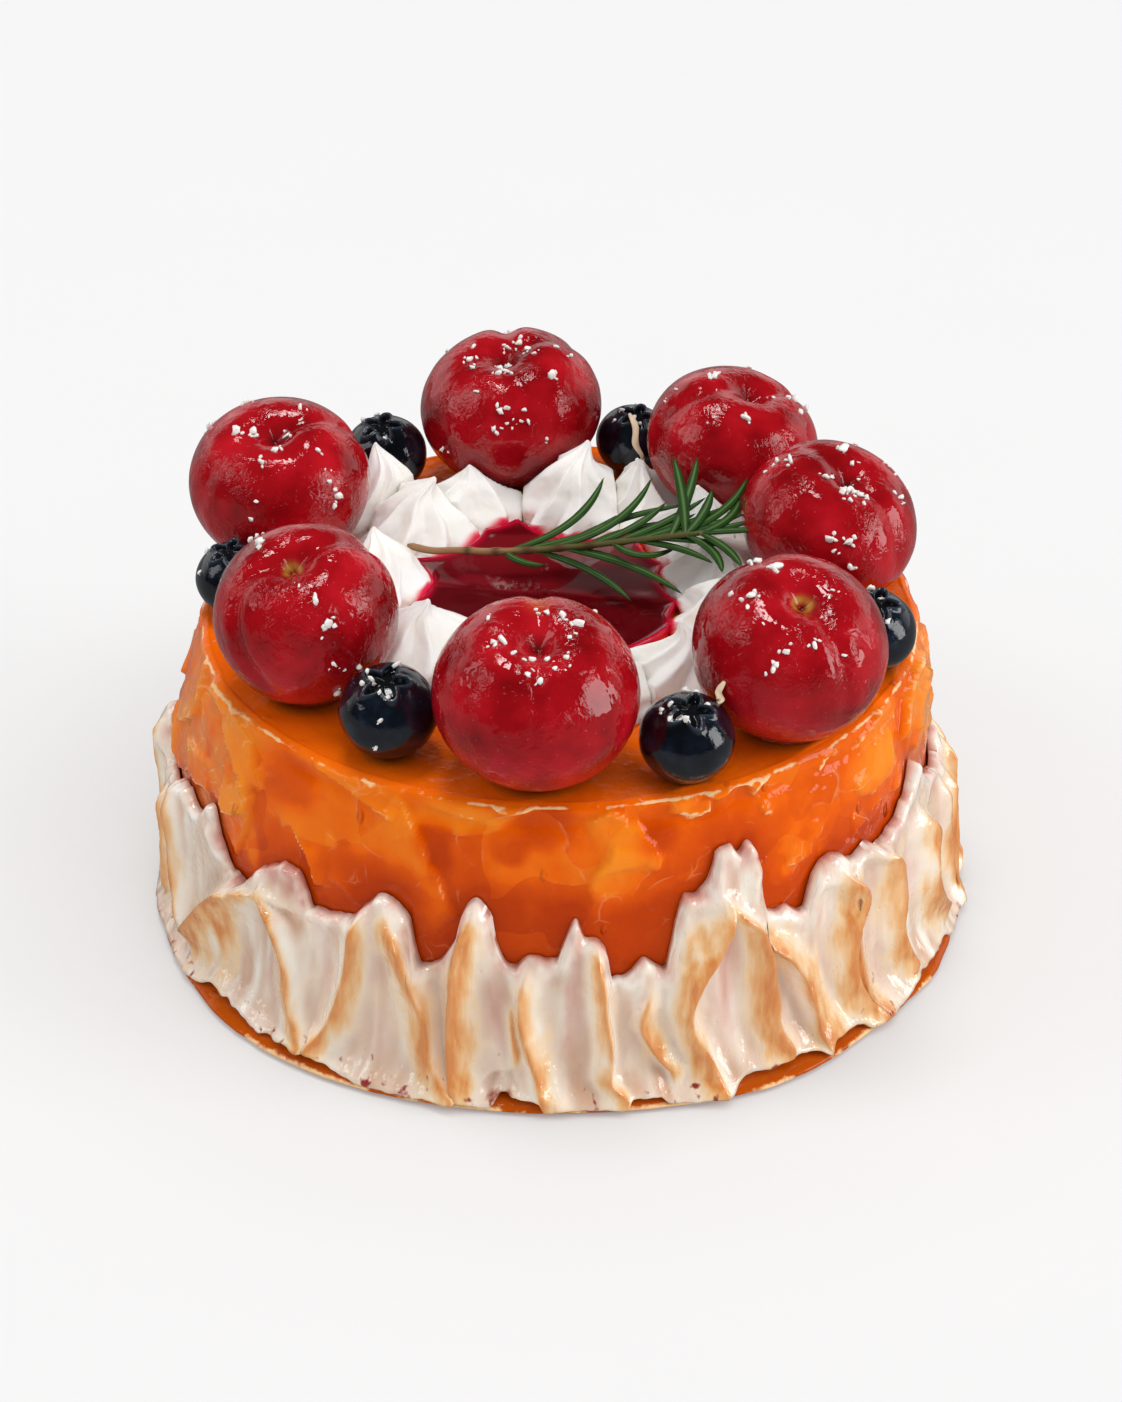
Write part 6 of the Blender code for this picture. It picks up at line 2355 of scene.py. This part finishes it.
@dataclass
class IvoryCurls:
    """Two small shavings: one hangs down a berry's face, one is caught between berry and cherry."""

    thickness: float = 0.4
    width: float = 1.15
    paths: tuple = (
        ((10.6, 40.0, 56.4), (11.5, 38.0, 55.2), (11.5, 36.3, 53.2), (12.5, 35.7, 51.4), (12.4, 35.8, 49.8)),
        ((22.0, -41.3, 58.4), (21.2, -42.0, 57.3), (21.4, -42.5, 56.2), (20.5, -42.8, 55.4)),
    )

    def surface(self) -> Surface:
        """The shavings: flat strips along bent paths, narrower at both ends."""
        parts = []
        for path in self.paths:
            line = smooth_path(np.array(path), 28)
            side, up = framed(line)
            share = np.linspace(-1.0, 1.0, len(line))[:, None]
            turn = turns(12)
            wide = 0.5 * self.width * (1.0 - 0.5 * share**2 + 0.12 * np.sin(7.0 * share)) * np.cos(turn)
            thick = 0.5 * self.thickness * np.sin(turn)
            rings = line[:, None] + side[:, None] * wide[..., None] + up[:, None] * thick[..., None]
            parts.append(capped(rings, line[0], line[-1]))
        return joined(parts)


# ---------------------------------------------------------------- the studio


@dataclass
class Studio:
    """Camera, floor and lights: a pale sweep, softboxes at the right, at the left and overhead."""

    elevation: float = 31.7  # degrees
    distance: float = 0.55  # metres from the camera to its target
    target: tuple = (0.00022, 0.0, 0.02985)
    lens: float = 96.43
    floor_size: float = 8.0
    floor_height: float = -0.0002
    floor_tone: str = "#B3B3B3"
    floor_mottle: str = "#B1B1B1"
    floor_glow: float = 0.42  # lit from beneath, as on a light table, so that shadows stay faint
    shade_reach: float = 0.055  # metres from the cake over which the glow fades
    mirrored_floor: str = "#848484"  # the paper as glossy surfaces mirror it
    lit_tone: str = "#FFFFFF"  # of the glow, in the open
    shaded_tone: str = "#BEBEBE"  # and beneath the cake's edge
    backdrop: float = 0.92  # as the camera sees it
    fill: float = 0.38  # light from behind the cake on matt surfaces
    front_fill: float = 0.7  # and from the camera's side
    # The softboxes: name, way from the cake, distance and size in metres, brightness.
    boxes: tuple = (
        ("right softbox", (0.95, -0.21, 0.23), 1.6, (0.67, 1.34), 3.3),
        ("left softbox", (-0.79, -0.118, 0.59), 1.6, (0.6, 0.9), 1.5),
        ("top softbox", (-0.1, 0.12, 1.0), 1.2, (0.3, 0.3), 10.5),
    )
    aim_height: float = 0.05  # metres over the table, where they point
    key: float = 0.95
    key_spread: float = 50.0  # degrees
    key_tilt: tuple = (14.0, 19.0)  # degrees about X and Y

    def camera(self) -> None:
        """Sets the camera that matches the photo, looking along +Y and down."""
        rise = np.radians(self.elevation)
        data = bpy.data.cameras.new("photo camera")
        data.sensor_width, data.lens = 36.0, self.lens
        data.clip_start, data.clip_end = 0.01, 50.0
        data.dof.use_dof = False
        camera = bpy.data.objects.new("photo camera", data)
        back = np.array([0.0, -np.cos(rise), np.sin(rise)])
        camera.location = np.array(self.target) + self.distance * back
        camera.rotation_euler = (np.pi / 2.0 - rise, 0.0, 0.0)
        bpy.context.scene.collection.objects.link(camera)
        bpy.context.scene.camera = camera

    def floor(self) -> None:
        """Lays the pale paper floor, just under the cake's base."""
        half = self.floor_size / 2.0
        mesh = bpy.data.meshes.new("paper floor")
        corners = [(x * half, y * half, self.floor_height) for x, y in ((-1, -1), (1, -1), (1, 1), (-1, 1))]
        mesh.from_pydata(corners, [], [(0, 1, 2, 3)])
        make = Recipe("matt white paper")
        mirrored = make.node("LightPath", output="Is Glossy Ray")
        lit = make.node("AmbientOcclusion", {"Distance": self.shade_reach}, output="AO", samples=8)
        paper = make.set(
            Base_Color=make.coats(
                self.floor_tone, (make.grain(60.0, 2.0), self.floor_mottle), (mirrored, self.mirrored_floor)
            ),
            Roughness=0.95,
            Specular_IOR_Level=0.0,
            Emission_Color=make.coats(self.shaded_tone, (lit, self.lit_tone), (mirrored, "#000000")),
            Emission_Strength=self.floor_glow,
        )
        mesh.materials.append(paper)
        floor = bpy.data.objects.new("paper floor", mesh)
        bpy.context.scene.collection.objects.link(floor)
        floor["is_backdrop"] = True

    def softbox(self, name: str, way: tuple, away: float, size: tuple, radiance: float) -> None:
        """Hangs a rectangular light that faces the cake.

        Args:
            name: name of the light.
            way: direction from the cake, in any length.
            away: distance in metres.
            size: width and height in metres.
            radiance: how bright its face is.
        """
        data = bpy.data.lights.new(name, "AREA")
        data.shape, data.size, data.size_y = "RECTANGLE", *size
        data.energy = 4.0 * radiance * size[0] * size[1]  # watts that give the face this radiance
        heading = np.array(way) / np.linalg.norm(way)
        light = bpy.data.objects.new(name, data)
        light.location = heading * away + (0.0, 0.0, self.aim_height)
        tilt = np.arctan2(np.hypot(heading[0], heading[1]), heading[2])
        light.rotation_euler = (tilt, 0.0, np.arctan2(heading[1], heading[0]) + np.pi / 2.0)
        bpy.context.scene.collection.objects.link(light)

    def lights(self) -> None:
        """Hangs the three softboxes and a broad key light that no glaze mirrors."""
        for box in self.boxes:
            self.softbox(*box)
        data = bpy.data.lights.new("key", "SUN")
        data.energy, data.angle = self.key, np.radians(self.key_spread)
        light = bpy.data.objects.new("key", data)
        light.rotation_euler = (*np.radians(self.key_tilt), 0.0)
        light.visible_glossy = False
        bpy.context.scene.collection.objects.link(light)

    def surroundings(self) -> None:
        """Sets the room: an even fill for matt surfaces and a dark, half-lit studio for mirrors."""
        world = bpy.data.worlds.new("studio")
        world.use_nodes = True
        world.cycles.sampling_method = "NONE"
        bpy.context.scene.world = world
        tree = world.node_tree
        way = add_node(tree, "TexCoord", output="Generated")
        ahead, up = (add_node(tree, "SeparateXYZ", {0: way}, output=axis) for axis in "YZ")
        mirrored = add_node(tree, "LightPath", output="Is Glossy Ray")
        direct = add_node(tree, "LightPath", output="Is Camera Ray")
        stops = ((0.38, "#F4F4F4"), (0.5, "#7A7A7A"), (0.58, "#3A3A3A"))
        low_to_high = add_node(tree, "ValToRGB", {0: up}, stops)
        behind = add_node(tree, "MapRange", {0: ahead, 1: 0.05, 2: 0.45})
        room = add_node(tree, "Mix", {0: behind, 6: "#3A3A3C", 7: low_to_high})
        towards = add_node(tree, "MapRange", {0: ahead, 1: 0.3, 2: -0.9})
        tones = (self.fill, self.front_fill, self.backdrop)
        back, front, seen_tone = ((tone, tone, tone, 1.0) for tone in tones)
        matt = add_node(tree, "Mix", {0: towards, 6: back, 7: front})
        lighting = add_node(tree, "Mix", {0: mirrored, 6: matt, 7: room})
        seen = add_node(tree, "Mix", {0: direct, 6: lighting, 7: seen_tone})
        tree.links.new(seen, tree.nodes["Background"].inputs["Color"])
        bpy.context.scene.view_settings.view_transform = "Standard"


# ---------------------------------------------------------------- the cake


@dataclass
class Cake:
    """The whole cake, put together piece by piece on a bench."""

    bench: Bench
    mousse: GlazedMousse = field(default_factory=GlazedMousse)
    skirt: MeringueSkirt = field(default_factory=MeringueSkirt)
    sprig: RosemarySprig = field(default_factory=RosemarySprig)
    pool: SaucePool = field(default_factory=SaucePool)
    sugar: SugarGrains = field(default_factory=SugarGrains)
    curls: IvoryCurls = field(default_factory=IvoryCurls)

    def build_body(self) -> None:
        """Makes the glazed mousse and the meringue skirt round it."""
        tongues, back_crests = self.skirt.back_strokes()
        tops = [self.skirt.top_edge(circle(piece.columns), tongues) for piece in (self.mousse, self.skirt)]
        hollows = [fruit.contact() for fruit in CHERRIES + BLUEBERRIES]
        glaze = OrangeGlaze().material()
        body = self.mousse.surface(tops[0], hollows)
        self.bench.add("glazed_mousse", body, glaze, Slot.GLAZE, ("cake_body",))
        meringue = ToastedMeringue().material()
        skirt = self.skirt.surface(tops[1], list(FRONT_CRESTS) + back_crests)
        self.bench.add("drawn_meringue", skirt, meringue, Slot.MERINGUE, ("meringue_skirt",))

    def build_fruit(self) -> None:
        """Makes the crown of cherries and blueberries with their sugar."""
        cherry, berry = CherrySkin().material(), BlueberrySkin().material()
        for fruits, skin, slot in ((CHERRIES, cherry, Slot.CHERRY), (BLUEBERRIES, berry, Slot.BLUEBERRY)):
            for fruit in fruits:
                self.bench.add("glazed_" + fruit.name, fruit.surface(), skin, slot, (fruit.name,))
        grains = self.sugar.surface(CHERRIES + BLUEBERRIES)
        self.bench.add("sugar_grains", grains, SugarCrystal().material(), Slot.CREAM)

    def build_centre(self) -> None:
        """Makes the piped cream, the pool of gel, the sprig and the shavings."""
        cream = WhippedCream().material()
        fruits = CHERRIES + BLUEBERRIES
        balls = [(np.array([f.x, f.y, TOP + GAP + f.radius * f.flat]), f.radius) for f in fruits]
        for number, dollop in enumerate(DOLLOPS, 1):
            surface = dollop.surface(balls, list(DOLLOPS), self.pool)
            self.bench.add(f"piped_cream_{number}", surface, cream, Slot.CREAM, (f"cream_dollop_{number}",))
        self.bench.add("red_gel", self.pool.surface(), RedGel().material(), Slot.SAUCE, ("sauce_pool",))
        leaf = RosemaryLeaf().material()
        self.bench.add("rosemary_leaves", self.sprig.surface(), leaf, Slot.ROSEMARY, ("rosemary_sprig",))
        self.bench.add("ivory_shavings", self.curls.surface(), CreamCurl().material(), Slot.CREAM)


def main() -> None:
    """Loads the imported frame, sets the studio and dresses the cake."""
    logging.basicConfig(level=logging.INFO, stream=sys.stdout, format="%(name)s: %(message)s")
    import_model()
    packed = [list(corner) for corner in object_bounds()]
    studio = Studio()
    studio.camera()
    studio.floor()
    studio.lights()
    studio.surroundings()
    cake = Cake(Bench(np.array(packed[0]), np.array(packed[1])))
    cake.build_body()
    cake.build_fruit()
    cake.build_centre()


if __name__ == "__main__":
    main()
